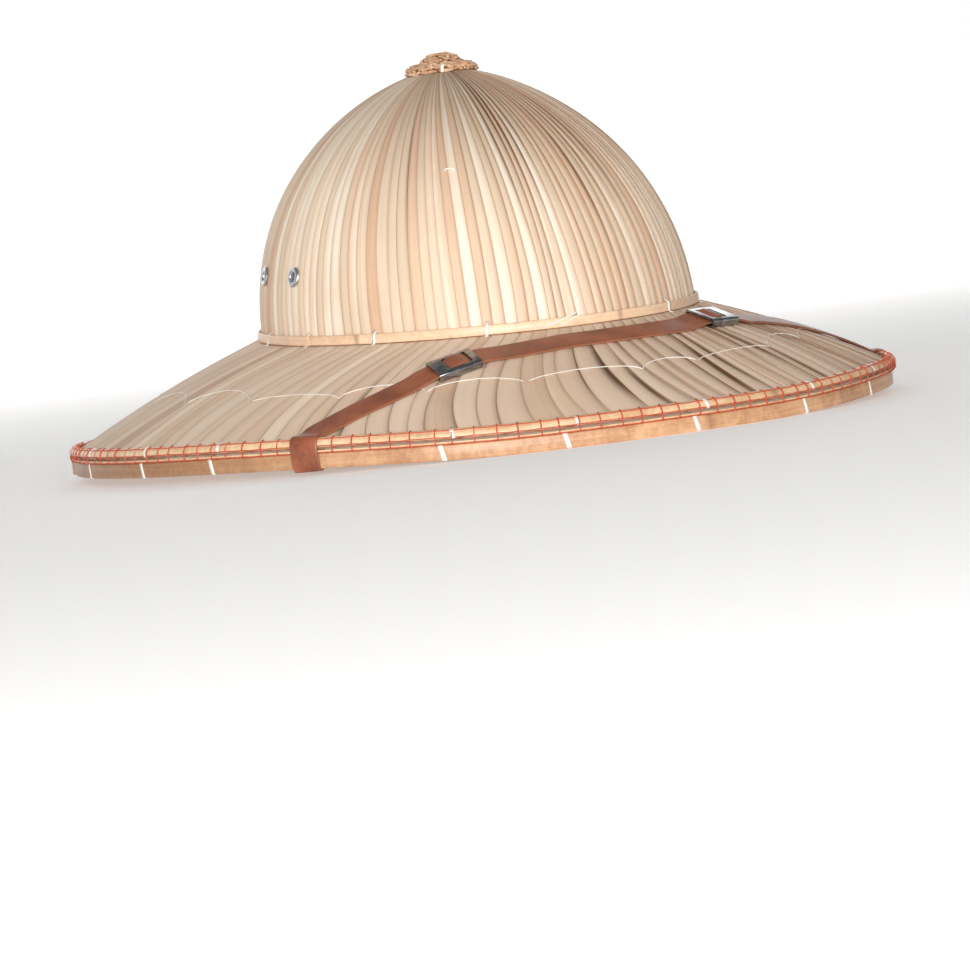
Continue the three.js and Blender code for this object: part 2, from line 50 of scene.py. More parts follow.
def add_camera():
    azimuth, elevation, lean = math.radians(-22), math.radians(1.0), math.radians(-6.65)
    frame_pixels = 970
    focal_pixels = 4624
    aim = Vector((0, -8, 60)) * MM
    aim_pixel = (474.6, 298.2)
    distance = 2.0
    back = Vector((math.sin(azimuth) * math.cos(elevation),
                   -math.cos(azimuth) * math.cos(elevation), math.sin(elevation)))
    level = Vector((math.cos(azimuth), math.sin(azimuth), 0))
    rise = back.cross(level)
    right = math.cos(lean) * level + math.sin(lean) * rise
    up = back.cross(right)
    camera = bpy.data.objects.new("camera", bpy.data.cameras.new("camera"))
    camera.data.sensor_width = 36
    camera.data.lens = focal_pixels / frame_pixels * camera.data.sensor_width
    camera.data.shift_x = (frame_pixels / 2 - aim_pixel[0]) / frame_pixels
    camera.data.shift_y = (aim_pixel[1] - frame_pixels / 2) / frame_pixels
    camera.data.clip_start = 0.05
    turn = Matrix((right, up, back)).transposed().to_4x4()
    camera.matrix_world = Matrix.Translation(aim + back * distance) @ turn
    bpy.context.collection.objects.link(camera)
    bpy.context.scene.camera = camera


add_camera()


# Sizes in millimetres, as the solids have them; angles run round the hat from the front, -Y, to +X

GAP = 0.3
RIM_HALF_WIDTH, RIM_HALF_LENGTH = 176.0, 190.0
RIM_RISE, RIM_FLAT_ANGLE = 4.0, math.radians(15)
HOOP_HEIGHT, HOOP_THICKNESS = 6.2, 2.2
CANE_OVERHANG = 1.0
LOWER_CANE_WIDTH, LOWER_CANE_HEIGHT = 2.4, 1.0
UPPER_CANE_WIDTH, UPPER_CANE_HEIGHT, UPPER_CANE_SLOPE = 3.2, 2.2, 0.66
CROWN_HALF_WIDTH, CROWN_HALF_LENGTH = 91.0, 111.0
CROWN_FORWARD, CROWN_LEAN, BASE_HEIGHT = 8.0, math.radians(2.36), 50.5
DOME_HEIGHT, DOME_SET_BACK = 110.0, 12.0
DOME_SHOULDER, DOME_ROUNDNESS = 2.17, 1.64
CROWN_WALL = 2.4
BRIM_WALL, BRIM_EDGE_WALL, BRIM_EDGE_TAPER = 2.0, 1.2, 0.06
BRIM_DROOP, LEAF_EDGE_REACH = 0.25, 0.2
BRIM_LEAF_STEP = 0.7
BAND_HEIGHT, BAND_THICKNESS, BAND_LEDGE = 4.0, 1.3, 1.0
RING_WIDTH, RING_HEIGHT, RING_REACH = 4.5, 1.6, 0.6
BUTTON_RADIUS, BUTTON_HEIGHT = 15.5, 6.5
EYELET_RADIUS, EYELET_HOLE, EYELET_BARREL_WALL, EYELET_FLANGE = 4.0, 1.9, 0.5, 1.0
EYELET_SPACING, EYELET_HEIGHT = 37.0, 28.5
STRAP_WIDTH, STRAP_THICKNESS, STRAP_BEND, STRAP_END_HEIGHT = 12.0, 1.0, 0.8, 20.0
SLIDER_LENGTH, SLIDER_WALL, SLIDER_PLAY = 19.0, 0.8, 0.5
RIVET_HEIGHT, RIVET_HEAD_RADIUS, RIVET_HEAD_THICKNESS, RIVET_DEPTH = 13.0, 3.2, 0.8, 1.2
FOOT_SHARE = 0.2

LOWER_CANE_BOTTOM = HOOP_HEIGHT + GAP
LEAF_EDGE_BOTTOM = LOWER_CANE_BOTTOM + LOWER_CANE_HEIGHT + GAP
LEAF_EDGE_TOP = LEAF_EDGE_BOTTOM + BRIM_EDGE_WALL
BAND_REACH = GAP + BAND_THICKNESS
SEAT_REACH = BAND_REACH + BAND_LEDGE
UNDER_LEAVES = BRIM_WALL + BRIM_LEAF_STEP + GAP


# Surfaces: each takes arrays and returns points in millimetres

NUDGE = 0.01


def points_of(x, y, z):
    return np.stack(np.broadcast_arrays(x, y, z), axis=-1).astype(float)


def smoothstep(x, low, high):
    t = np.clip((x - low) / (high - low), 0, 1)
    return t * t * (3 - 2 * t)


def unit(v):
    return v / np.linalg.norm(v, axis=-1, keepdims=True)


def turn_between(angle, start=0.0):
    """How far an angle is past another, from minus to plus half a turn."""
    return (angle - start + math.pi) % TURN - math.pi


def running_length(points):
    """Length along a run of points, up to each of them."""
    return np.concatenate([[0], np.cumsum(np.linalg.norm(np.diff(points, axis=0), axis=-1))])


def rim_point(angle, out, up):
    lift = RIM_RISE * smoothstep(np.abs(np.sin(angle)), math.sin(RIM_FLAT_ANGLE), 1)
    return points_of((RIM_HALF_WIDTH + out) * np.sin(angle),
                     -(RIM_HALF_LENGTH + out) * np.cos(angle), lift + up)


def place_on_crown(x, y, z):
    c, s = math.cos(CROWN_LEAN), math.sin(CROWN_LEAN)
    return points_of(x, y * c - z * s - CROWN_FORWARD, y * s + z * c + BASE_HEIGHT)


def crown_point(angle, share, out, up=0.0):
    reach = np.maximum(1 - share ** DOME_SHOULDER, 0) ** (1 / DOME_ROUNDNESS)
    return place_on_crown(
        (CROWN_HALF_WIDTH + out) * reach * np.sin(angle),
        DOME_SET_BACK * share - (CROWN_HALF_LENGTH + out) * reach * np.cos(angle),
        (DOME_HEIGHT + out) * share + up)


def dome_top_point(angle, radius, up):
    oval = np.hypot(np.sin(angle) / CROWN_HALF_WIDTH, np.cos(angle) / CROWN_HALF_LENGTH)
    share = (1 - (radius * oval) ** DOME_ROUNDNESS) ** (1 / DOME_SHOULDER)
    return place_on_crown(radius * np.sin(angle), DOME_SET_BACK - radius * np.cos(angle),
                          DOME_HEIGHT * share + up)


def brim_point(angle, reach, down=0.0):
    inner = crown_point(angle, np.zeros_like(angle), SEAT_REACH, -GAP)
    outer = rim_point(angle, LEAF_EDGE_REACH, LEAF_EDGE_TOP)
    reach = np.asarray(reach, float)[..., None] if np.ndim(reach) else reach
    point = inner + (outer - inner) * reach
    fall = reach * (1 - BRIM_DROOP) + BRIM_DROOP * reach * reach
    point[..., 2] = (inner + (outer - inner) * fall)[..., 2] - down
    return point


def brim_normal(angle, reach):
    across = brim_point(angle + NUDGE, reach) - brim_point(angle - NUDGE, reach)
    outward = brim_point(angle, reach + NUDGE) - brim_point(angle, reach - NUDGE)
    return unit(np.cross(outward, across))


def crown_normal(angle, share):
    across = crown_point(angle + NUDGE, share, 0) - crown_point(angle - NUDGE, share, 0)
    upward = crown_point(angle, share + NUDGE, 0) - crown_point(angle, share - NUDGE, 0)
    return unit(np.cross(across, upward))


def foot_point(angle, height, inside):
    low = crown_point(angle, 0.0, -CROWN_WALL - inside)
    high = crown_point(angle, FOOT_SHARE, -CROWN_WALL - inside)
    return low + (high - low) * height / (FOOT_SHARE * DOME_HEIGHT)


def foot_inward(angle):
    up = foot_point(angle, 1, 0) - foot_point(angle, 0, 0)
    across = foot_point(angle + NUDGE, 0, 0) - foot_point(angle - NUDGE, 0, 0)
    return unit(np.cross(up, across))


def brim_wall_at(reach):
    return BRIM_WALL + (BRIM_EDGE_WALL - BRIM_WALL) * smoothstep(reach, 1 - BRIM_EDGE_TAPER, 1)


def upper_cane_up(out, rise):
    return LEAF_EDGE_TOP + GAP + (LEAF_EDGE_REACH - out) * UPPER_CANE_SLOPE + rise * UPPER_CANE_HEIGHT


# Node trees as expressions

def srgb(red, green, blue):
    def linear(c):
        c /= 255
        return c / 12.92 if c <= 0.04045 else ((c + 0.055) / 1.055) ** 2.4
    return (linear(red), linear(green), linear(blue), 1.0)


class Channel:
    """A socket of a node tree: arithmetic on it adds Math nodes."""

    def __init__(self, maker, socket):
        self.maker = maker
        self.socket = socket

    def math(self, operation, *others):
        return self.maker.node("ShaderNodeMath", (self, *others), operation=operation)

    def __add__(self, other):
        return self.math("ADD", other)

    def __sub__(self, other):
        return self.math("SUBTRACT", other)

    def __mul__(self, other):
        return self.math("MULTIPLY", other)

    def __rsub__(self, other):
        return self.maker.node("ShaderNodeMath", (other, self), operation="SUBTRACT")

    __radd__ = __add__
    __rmul__ = __mul__

    def step(self, low, high):
        """0 below low, 1 above high and smooth between them; low may be the greater one."""
        return self.maker.node("ShaderNodeMapRange", {"Value": self, "From Min": low, "From Max": high},
                               interpolation_type="SMOOTHSTEP")


class TreeMaker:
    """A node tree, written as expressions."""

    def __init__(self, tree):
        self.tree = tree

    def node(self, kind, inputs=(), output=0, **settings):
        """A node with its settings and then its sockets' values or links; returns one of its outputs."""
        node = self.tree.nodes.new(kind)
        for name, value in settings.items():
            setattr(node, name, value)
        pairs = inputs.items() if isinstance(inputs, dict) else enumerate(inputs)
        for key, value in pairs:
            if isinstance(value, Channel):
                self.tree.links.new(value.socket, node.inputs[key])
            else:
                node.inputs[key].default_value = value
        return Channel(self, node.outputs[output])


class Finish(TreeMaker):
    """A material whose expressions end in its shader."""

    def __init__(self, name, **constants):
        self.material = bpy.data.materials.new(name)
        self.material.use_nodes = True
        super().__init__(self.material.node_tree)
        self.shader = self.tree.nodes["Principled BSDF"]
        for socket, value in constants.items():
            self.shader.inputs[socket.replace("_", " ")].default_value = value

    def attribute(self, name):
        return self.node("ShaderNodeAttribute", output="Fac", attribute_name=name)

    def place(self):
        return self.node("ShaderNodeTexCoord", output="Object")

    def along(self):
        return self.node("ShaderNodeUVMap", uv_map="UVMap")

    def scaled(self, vector, scale):
        return self.node("ShaderNodeMapping", {"Vector": vector, "Scale": scale})

    def noise(self, vector, scale, detail=3.0):
        return self.node("ShaderNodeTexNoise",
                         {"Vector": vector, "Scale": scale, "Detail": detail, "Roughness": 0.55})

    def mix(self, share, first, second, blend="MIX"):
        return self.node("ShaderNodeMix", {0: share, 6: first, 7: second}, output=2,
                         data_type="RGBA", blend_type=blend)

    def ramp(self, value, stops):
        channel = self.node("ShaderNodeValToRGB", (value,))
        elements = channel.socket.node.color_ramp.elements
        while len(elements) < len(stops):
            elements.new(0.5)
        for element, (position, colour) in zip(elements, stops):
            element.position = position
            element.color = colour
        return channel

    def bump(self, height, depth, strength):
        return self.node("ShaderNodeBump", {"Height": height, "Strength": strength, "Distance": depth * MM})

    def end(self, colour, roughness, normal):
        for socket, channel in (("Base Color", colour), ("Roughness", roughness), ("Normal", normal)):
            self.tree.links.new(channel.socket, self.shader.inputs[socket])
        return self.material


# Finishes

# Browns of painted shade, in gaps and towards the crown's top and the rim's edge, and the cane joints' own
# brown
GAP_SHADE_BROWN = srgb(88, 58, 38)
PAINTED_SHADE_BROWN = srgb(114, 78, 53)
JOINT_BROWN = srgb(118, 78, 50)


def leaf_finish(name, stops, edge, inside, roughness, grain):
    """Dry leaf strips: a tone for each strip, fine fibres along it and a brown edge, with painted shade on
    the steps and in the gaps between strips, on the inner side, towards the crown's top and at the rim's
    edge.
    """
    f = Finish(name, Specular_IOR_Level=0.35)
    uv = f.along()
    fibres = f.noise(f.scaled(uv, (900, 14, 1)), 1.0, 4.0)
    streaks = f.noise(f.scaled(uv, (190, 6, 1)), 1.0, 2.0)
    blotches = f.noise(f.place(), 38.0, 3.0)
    tone = f.attribute("tone") + (fibres * 0.4 + streaks * 0.6 - 0.5) * grain + (blotches - 0.5) * 0.25
    colour = f.ramp(tone, stops)
    # Brown at the strips' edges: the dried edge's own colour, darkened further by painted shade on the step
    # between strips
    colour = f.mix(f.attribute("edge") * 0.8, colour, edge)
    # The inner and under side is multiplied darker: painted shade
    colour = f.mix(f.attribute("inside") * 0.6, colour, inside, "MULTIPLY")
    # Painted shade: brown in the gaps where strips gape, towards the crown's top and in the recess at the
    # rim's edge
    for mark, share, brown in (("split", 0.85, GAP_SHADE_BROWN), ("rim", 0.8, PAINTED_SHADE_BROWN)):
        colour = f.mix(f.attribute(mark) * share, colour, brown)
    height = fibres * 0.6 + streaks * 0.4
    return f.end(colour, fibres * 0.16 + (roughness - 0.08), f.bump(height, 0.12, 0.5))


def cane_finish(name, light, dark, roughness=0.42):
    """Split cane or bamboo: long grain, soft mottling, darker joints and a slight polish."""
    f = Finish(name, Specular_IOR_Level=0.45, Coat_Weight=0.12, Coat_Roughness=0.35)
    uv = f.along()
    grain = f.noise(f.scaled(uv, (16, 1500, 1)), 1.0, 4.0)
    bands = f.noise(f.scaled(uv, (9, 260, 1)), 1.0, 3.0)
    mottle = f.noise(f.place(), 60.0, 4.0)
    specks = f.noise(f.place(), 420.0, 3.0)
    tone = grain * 0.5 + bands * 0.5 + (mottle - 0.5) * 0.8 + (specks - 0.5) * 0.5
    colour = f.ramp(tone, [(0.28, dark), (0.72, light)])
    flecks = f.noise(f.scaled(uv, (230, 2600, 1)), 1.0, 2.0).step(0.58, 0.74)
    colour = f.mix(flecks * 0.4, colour, JOINT_BROWN)
    colour = f.mix(f.attribute("joint") * 0.5, colour, JOINT_BROWN)
    # Darker along one stretch of the hoop, mottled
    colour = f.mix(f.attribute("dark_stretch") * mottle, colour, JOINT_BROWN)
    return f.end(colour, grain * 0.2 + (roughness - 0.1), f.bump(grain * 0.5 + bands, 0.1, 0.5))


def leather_finish():
    f = Finish("strap_leather", Specular_IOR_Level=0.5)
    pebble = f.node("ShaderNodeTexVoronoi", {"Vector": f.place(), "Scale": 900.0})
    wear = f.noise(f.place(), 55.0, 4.0)
    fine = f.noise(f.place(), 700.0, 2.0)
    colour = f.ramp(wear + (fine - 0.5) * 0.2, [(0.28, srgb(112, 62, 43)), (0.52, srgb(158, 90, 62)),
                                                (0.8, srgb(184, 116, 84))])
    colour = f.mix(f.attribute("edge") * 0.8, colour, srgb(152, 100, 72))
    return f.end(colour, wear * 0.2 + 0.32, f.bump(pebble * 0.5 + fine * 0.5, 0.08, 0.5))


def metal_finish(name, dark, light, roughness):
    f = Finish(name, Metallic=1.0)
    cloud = f.noise(f.place(), 260.0, 4.0)
    colour = f.ramp(cloud, [(0.3, srgb(*dark)), (0.7, srgb(*light))])
    return f.end(colour, cloud * 0.2 + (roughness - 0.1), f.bump(cloud, 0.02, 0.25))


def thread_finish(name, light, dark, roughness):
    f = Finish(name)
    twist = f.noise(f.place(), 1400.0, 2.0)
    colour = f.ramp(twist, [(0.3, dark), (0.7, light)])
    return f.end(colour, twist * 0.2 + roughness, f.bump(twist, 0.08, 0.6))


def straw_finish(name, dark, middle, light):
    f = Finish(name, Specular_IOR_Level=0.35)
    fibres = f.noise(f.place(), 1300.0, 3.0)
    patches = f.noise(f.place(), 330.0, 3.0)
    colour = f.ramp(fibres * 0.35 + patches * 0.65,
                    [(0.32, srgb(*dark)), (0.48, srgb(*middle)), (0.66, srgb(*light))])
    return f.end(colour, fibres * 0.2 + 0.5, f.bump(fibres, 0.1, 0.6))


# Each leaf finish: its tone stops, the brown of its edges, and the colour that darkens its inner side as
# painted shade, then roughness and grain
CROWN_LEAF = leaf_finish(
    "crown_leaf",
    [(0.06, srgb(220, 182, 152)), (0.28, srgb(234, 202, 173)), (0.42, srgb(228, 206, 179)),
     (0.58, srgb(242, 215, 187)), (0.76, srgb(254, 240, 219)), (0.95, srgb(248, 228, 202))],
    srgb(162, 107, 72), srgb(206, 180, 152), 0.55, 0.9)
BRIM_LEAF = leaf_finish(
    "brim_leaf",
    [(0.06, srgb(210, 173, 144)), (0.35, srgb(231, 201, 173)), (0.6, srgb(240, 213, 188)),
     (0.9, srgb(247, 225, 201))],
    srgb(108, 74, 50), srgb(214, 192, 170), 0.6, 0.6)
BAMBOO = cane_finish("hoop_bamboo", srgb(226, 180, 138), srgb(176, 126, 88))
CANE = cane_finish("split_cane", srgb(246, 216, 176), srgb(214, 168, 124))
BAND_CANE = cane_finish("band_cane", srgb(254, 222, 188), srgb(236, 193, 157))
# A darker copy of the cane for the ring under the brim: painted shade
DARK_CANE = cane_finish("ring_cane", srgb(150, 114, 80), srgb(96, 66, 42), 0.5)
LEATHER = leather_finish()
METAL = metal_finish("dull_nickel", (112, 114, 118), (176, 178, 182), 0.24)
BRIGHT_METAL = metal_finish("eyelet_nickel", (188, 192, 198), (232, 234, 238), 0.36)
RED_THREAD = thread_finish("red_thread", srgb(226, 104, 70), srgb(176, 62, 40), 0.5)
WHITE_TIE = thread_finish("white_tie", srgb(255, 252, 246), srgb(232, 226, 216), 0.3)
STRAW = straw_finish("woven_straw", (168, 119, 85), (210, 165, 130), (238, 209, 176))
# Dark brown under the strands: painted shade in the gaps of the weave
STRAW_SHADE = straw_finish("straw_gap_shade", (92, 58, 36), (122, 80, 50), (150, 104, 68))


# Meshes from points in millimetres

@contextlib.contextmanager
def edited(mesh):
    """A mesh open for editing, written back at the end."""
    work = bmesh.new()
    work.from_mesh(mesh)
    yield work
    work.to_mesh(mesh)
    work.free()


def linked(name, data):
    thing = bpy.data.objects.new(name, data)
    bpy.context.collection.objects.link(thing)
    return thing


def finish_piece(mesh, name, material, crease=40.0):
    """Links a mesh as a piece, smooth apart from edges sharper than crease."""
    limit = math.radians(crease)
    with edited(mesh) as work:
        for face in work.faces:
            face.smooth = True
        for edge in work.edges:
            edge.smooth = len(edge.link_faces) != 2 or edge.calc_face_angle() < limit
    mesh.materials.append(material)
    return linked(name, mesh)


def build_mesh(name, points, faces, attributes=None, uv=None):
    """A mesh facing outwards, with named number attributes and a UV map given per point."""
    mesh = bpy.data.meshes.new(name)
    mesh.from_pydata((np.asarray(points) * MM).tolist(), [], faces)
    for key, values in (attributes or {}).items():
        layer = mesh.attributes.new(key, "FLOAT", "POINT")
        layer.data.foreach_set("value", np.asarray(values, np.float32).ravel())
    if uv is not None:
        corners = np.empty(len(mesh.loops), np.int32)
        mesh.loops.foreach_get("vertex_index", corners)
        layer = mesh.uv_layers.new(name="UVMap")
        uv = np.asarray(uv).reshape(-1, 2)[corners] * MM
        layer.data.foreach_set("uv", uv.astype(np.float32).ravel())
    with edited(mesh) as work:
        if work.calc_volume(signed=True) < 0:
            bmesh.ops.reverse_faces(work, faces=work.faces)
    return mesh


def grid_faces(rows, columns, wrap_rows, wrap_columns):
    """Quads of a grid of points numbered row by row."""
    r = np.arange(rows if wrap_rows else rows - 1)
    c = np.arange(columns if wrap_columns else columns - 1)
    r, c = np.meshgrid(r, c, indexing="ij")
    r2, c2 = (r + 1) % rows, (c + 1) % columns
    quads = np.stack([r * columns + c, r * columns + c2, r2 * columns + c2, r2 * columns + c], -1)
    return quads.reshape(-1, 4).tolist()


def bar_faces(rows, sides):
    """Faces of a closed bar: a grid round its sides and a cap at each end."""
    last = (rows - 1) * sides
    return grid_faces(rows, sides, False, True) + [[*range(sides)][::-1], [*range(last, last + sides)]]


def bowl_faces(rows, sides):
    """Faces of a closed bowl: a grid, then a fan at each end to one of the two points after the grid's."""
    last, tip = (rows - 1) * sides, rows * sides
    after = [*range(1, sides), 0]
    faces = grid_faces(rows, sides, False, True)
    faces += [[after[c], c, tip] for c in range(sides)]
    return faces + [[last + c, last + after[c], tip + 1] for c in range(sides)]


# A joint of split cane: its reach along a hoop, in radians, and its swelling as a share of the width
JOINT_HALF_TURN, JOINT_SWELL = 0.009, 0.08
CORNER_STEPS = 3
WELD = 1e-7
# Least angles in degrees that show as an edge, on leaves, on turned metal and on thread, which has none
LEAF_CREASE, METAL_CREASE, NO_CREASE = 50, 60, 180


def hoop_mesh(name, section, make_point, joints=(), splice=None, stations=320, dark_stretch=None):
    """A hoop whose section is a list of (across, rise) shares, with a UV map along it.

    Its joints are swollen, darker spots at some angles. A splice is the angle where the hoop's two
    tapered ends lap over each other, and the lap's angle. A dark stretch, where the hoop is darker, is the
    angle of its middle and its reach.
    """
    spliced = splice is not None
    start, lap = splice if spliced else (0.0, 0.0)
    count = stations + spliced
    angle = start + np.arange(count) / stations * (TURN + lap)
    joint = np.zeros(count)
    for place in joints:
        apart = turn_between(angle, math.radians(place))
        joint = np.maximum(joint, np.exp(-(apart / JOINT_HALF_TURN) ** 2))
    taper, shift = np.ones(count), np.zeros(count)
    if spliced:
        taper -= 0.5 * (1 - smoothstep(angle - start, 0.4 * lap, lap))
        taper -= 0.5 * smoothstep(angle - start, TURN, TURN + 0.6 * lap)
        shift = 0.52 * smoothstep(angle - start, TURN - 1.5 * lap, TURN)
        inward = 1 - taper
        inward[angle - start > math.pi] = 0
    else:
        inward = np.zeros(count)
    points = np.array([make_point(angle, across * taper + inward - shift - JOINT_SWELL * joint, rise)
                       for across, rise in section])
    length, girth = running_length(points[0]), running_length(points[:, 0])
    uv = np.stack(np.broadcast_arrays(length[None, :], girth[:, None]), -1)
    faces = grid_faces(len(section), count, True, not spliced)
    if spliced:
        ends = [[row * count + column for row in range(len(section))] for column in (0, count - 1)]
        faces += [ends[0], ends[1][::-1]]
    marks = {"joint": np.tile(joint, len(section))}
    if dark_stretch is not None:
        apart = np.abs(turn_between(angle, dark_stretch[0]))
        marks["dark_stretch"] = np.tile(smoothstep(apart, dark_stretch[1], 0.3 * dark_stretch[1]), len(section))
    return build_mesh(name, points.reshape(-1, 3), faces, marks, uv)


def rounded_section(corner, ratio):
    """A rectangle of shares with round corners; ratio is its height over its width."""
    rx, ry = (corner * min(1, ratio), corner * min(1, ratio) / ratio)
    section = []
    for cx, cy, start in ((rx, 1 - ry, 180), (1 - rx, 1 - ry, 90), (1 - rx, ry, 0), (rx, ry, -90)):
        for k in range(CORNER_STEPS + 1):
            a = math.radians(start - 90 * k / CORNER_STEPS)
            section.append((cx + rx * math.cos(a), cy + ry * math.sin(a)))
    return section


def smooth_noise(count, waves):
    """A closed run of values about -1 to 1 that changes smoothly, with about this many waves."""
    spectrum = np.zeros(count // 2 + 1, complex)
    used = np.arange(1, min(waves, count // 2))
    spectrum[used] = rng.normal(size=used.size) + 1j * rng.normal(size=used.size)
    values = np.fft.irfft(spectrum, count)
    return values / np.abs(values).max()


def tube_mesh(name, points, radius, sides=6, closed=False):
    """A round thread through points in millimetres."""
    points = np.asarray(points, float)
    if closed:
        tangents = unit(np.roll(points, -1, 0) - np.roll(points, 1, 0))
    else:
        tangents = unit(np.gradient(points, axis=0))
    side = np.cross(tangents, np.array([0, 0, 1.0]))
    weak = np.linalg.norm(side, axis=1) < 0.2
    side[weak] = np.cross(tangents[weak], np.array([1.0, 0, 0]))
    side = unit(side)
    for i in range(1, len(side)):
        if side[i] @ side[i - 1] < 0:
            side[i] = -side[i]
    other = np.cross(side, tangents)
    a = (np.arange(sides) / sides * TURN)[None, :, None]
    ring = points[:, None] + radius * (np.cos(a) * side[:, None] + np.sin(a) * other[:, None])
    faces = grid_faces(len(points), sides, True, True) if closed else bar_faces(len(points), sides)
    return build_mesh(name, ring.reshape(-1, 3), faces)


def lathe_mesh(name, profile, axis, place, sides=40):
    """A turned piece: a profile of (radius, height) from axis to axis or closed on itself, along an axis."""
    turn = Vector((0, 0, 1)).rotation_difference(Vector(axis)).to_matrix()
    angle = np.arange(sides) / sides * TURN
    rows = np.array([[(r * math.cos(a), r * math.sin(a), h) for a in angle] for r, h in profile])
    points = rows.reshape(-1, 3) @ np.array(turn).T + np.asarray(place)
    closed = profile[0][0] > 0
    mesh = build_mesh(name, points, grid_faces(len(profile), sides, closed, True))
    with edited(mesh) as work:
        bmesh.ops.remove_doubles(work, verts=work.verts, dist=WELD)
        bmesh.ops.recalc_face_normals(work, faces=work.faces)
    return mesh


# Leaf strips

def strip_edges(count, spreads, shares):
    """Angles of the strips' edges at some shares of their length: widths vary and the edges drift."""
    kinds = [np.maximum(1 + spread * rng.normal(size=count), 0.28) for spread in spreads]
    kinds = [kind / kind.sum() * TURN for kind in kinds]
    t = shares[:, None]
    weights = ((1 - t) ** 2, 2 * t * (1 - t), t ** 2)
    widths = sum(w * kind[None, :] for w, kind in zip(weights, kinds))
    widths *= TURN / widths.sum(axis=1, keepdims=True)
    edges = np.concatenate([np.zeros((len(shares), 1)), np.cumsum(widths, axis=1)[:, :-1]], axis=1)
    return edges - edges.mean(axis=1, keepdims=True) + edges[0].mean(), widths


def strip_noise(count, rows, waves=3.0):
    """A smooth run of values along each strip, about -1 to 1."""
    t = np.linspace(0, 1, rows)[:, None]
    total = np.zeros((rows, count))
    for _ in range(3):
        phase = rng.uniform(0, TURN, count)
        pace = rng.uniform(0.3, waves, count)
        total += np.sin(TURN * pace[None, :] * t + phase[None, :])
    return total / 3


# Places across a strip, from the edge that lies over one neighbour to the edge that the other covers
ACROSS = np.array([0.0, 0.06, 0.2, 0.45, 0.7, 0.9, 1.0])
# How far the strip lies below its raised edge at each of those places, as a share of its step
SINK = np.array([0.14, 0.0, 0.06, 0.3, 0.62, 0.9, 1.0])
# How brown the leaf is at those places: its dried edge, with painted shade on the step beside it, and
# painted shade in a gap
EDGE_SHADE = np.array([1.5, 0.2, 0.0, 0.0, 0.08, 0.5, 1.3])
SPLIT_SHADE = np.array([0.0, 0.0, 0.0, 0.0, 0.1, 1.0, 1.0])
CUP = 0.3 * np.sin(math.pi * ACROSS)
STRIP_INSET = 0.012
CROWN_STRIPS, CROWN_STRIP_WIDTH = 126, 5.4
BRIM_STRIPS, BRIM_STRIP_WIDTH = 118, 8
# How much the strips' widths vary at their foot, middle and end
CROWN_SPREADS, BRIM_SPREADS = (0.14, 0.2, 0.16), (0.16, 0.42, 0.34)
# A strip's step in millimetres: the least, what chance adds and what its gape adds
CROWN_STEP, CROWN_STEP_SPREAD, CROWN_GAPE_STEP = 0.35, 0.4, 0.65
BRIM_STEP, BRIM_STEP_SPREAD, BRIM_GAPE_STEP = 0.5, 0.5, 0.75
# How far the crown's leaves lie inside the outside of its wall, and the thinnest place of the brim's
LEAF_SET_IN, THINNEST_LEAF = 0.3, 1.1
# How far the leaf's edge at the rim bulges, as a share of its reach
EDGE_BULGE = 0.0012
# Where leaves gape: the middle and reach in degrees, and the chance of it there and elsewhere
CROWN_GAPES = (35, 48, 0.75, 0.1)
BRIM_GAPES = (26, 34, 0.36, 0.16)
# Lengths that the grain runs over on the crown and the brim, in millimetres
CROWN_GRAIN, BRIM_GRAIN, GRAIN_SHIFT, GRAIN_SIDESTEP = 150, 90, 900, 400


def strip_grid(edges, widths):
    """Angles of the grid's columns for each row, strip by strip."""
    spread = ACROSS * (1 - STRIP_INSET)
    return (edges[:, :, None] + widths[:, :, None] * spread[None, None, :]).reshape(len(edges), -1)


def per_strip(values):
    return np.repeat(values, len(ACROSS), axis=-1)


def gaping(side, middle, reach, chance, elsewhere):
    """True for the strips that gape, by chance."""
    return rng.random(len(side)) < np.where(np.abs(side - middle) < reach, chance, elsewhere)


def gape_swell(shares, peak, spread):
    """How much each strip's gape has opened along its length, 1 at its peak."""
    return np.exp(-((shares[:, None] - peak[None, :]) / spread) ** 2)


def grain_map(along, count, width):
    """A UV map that runs along each strip and jumps by chance from one strip to the next."""
    girth = np.tile(ACROSS, count) * width + per_strip(rng.uniform(0, GRAIN_SIDESTEP, count))
    shift = per_strip(rng.uniform(0, GRAIN_SHIFT, count))
    return np.stack(np.broadcast_arrays(girth, along[:, None] + shift[None, :]), -1).reshape(-1, 2)


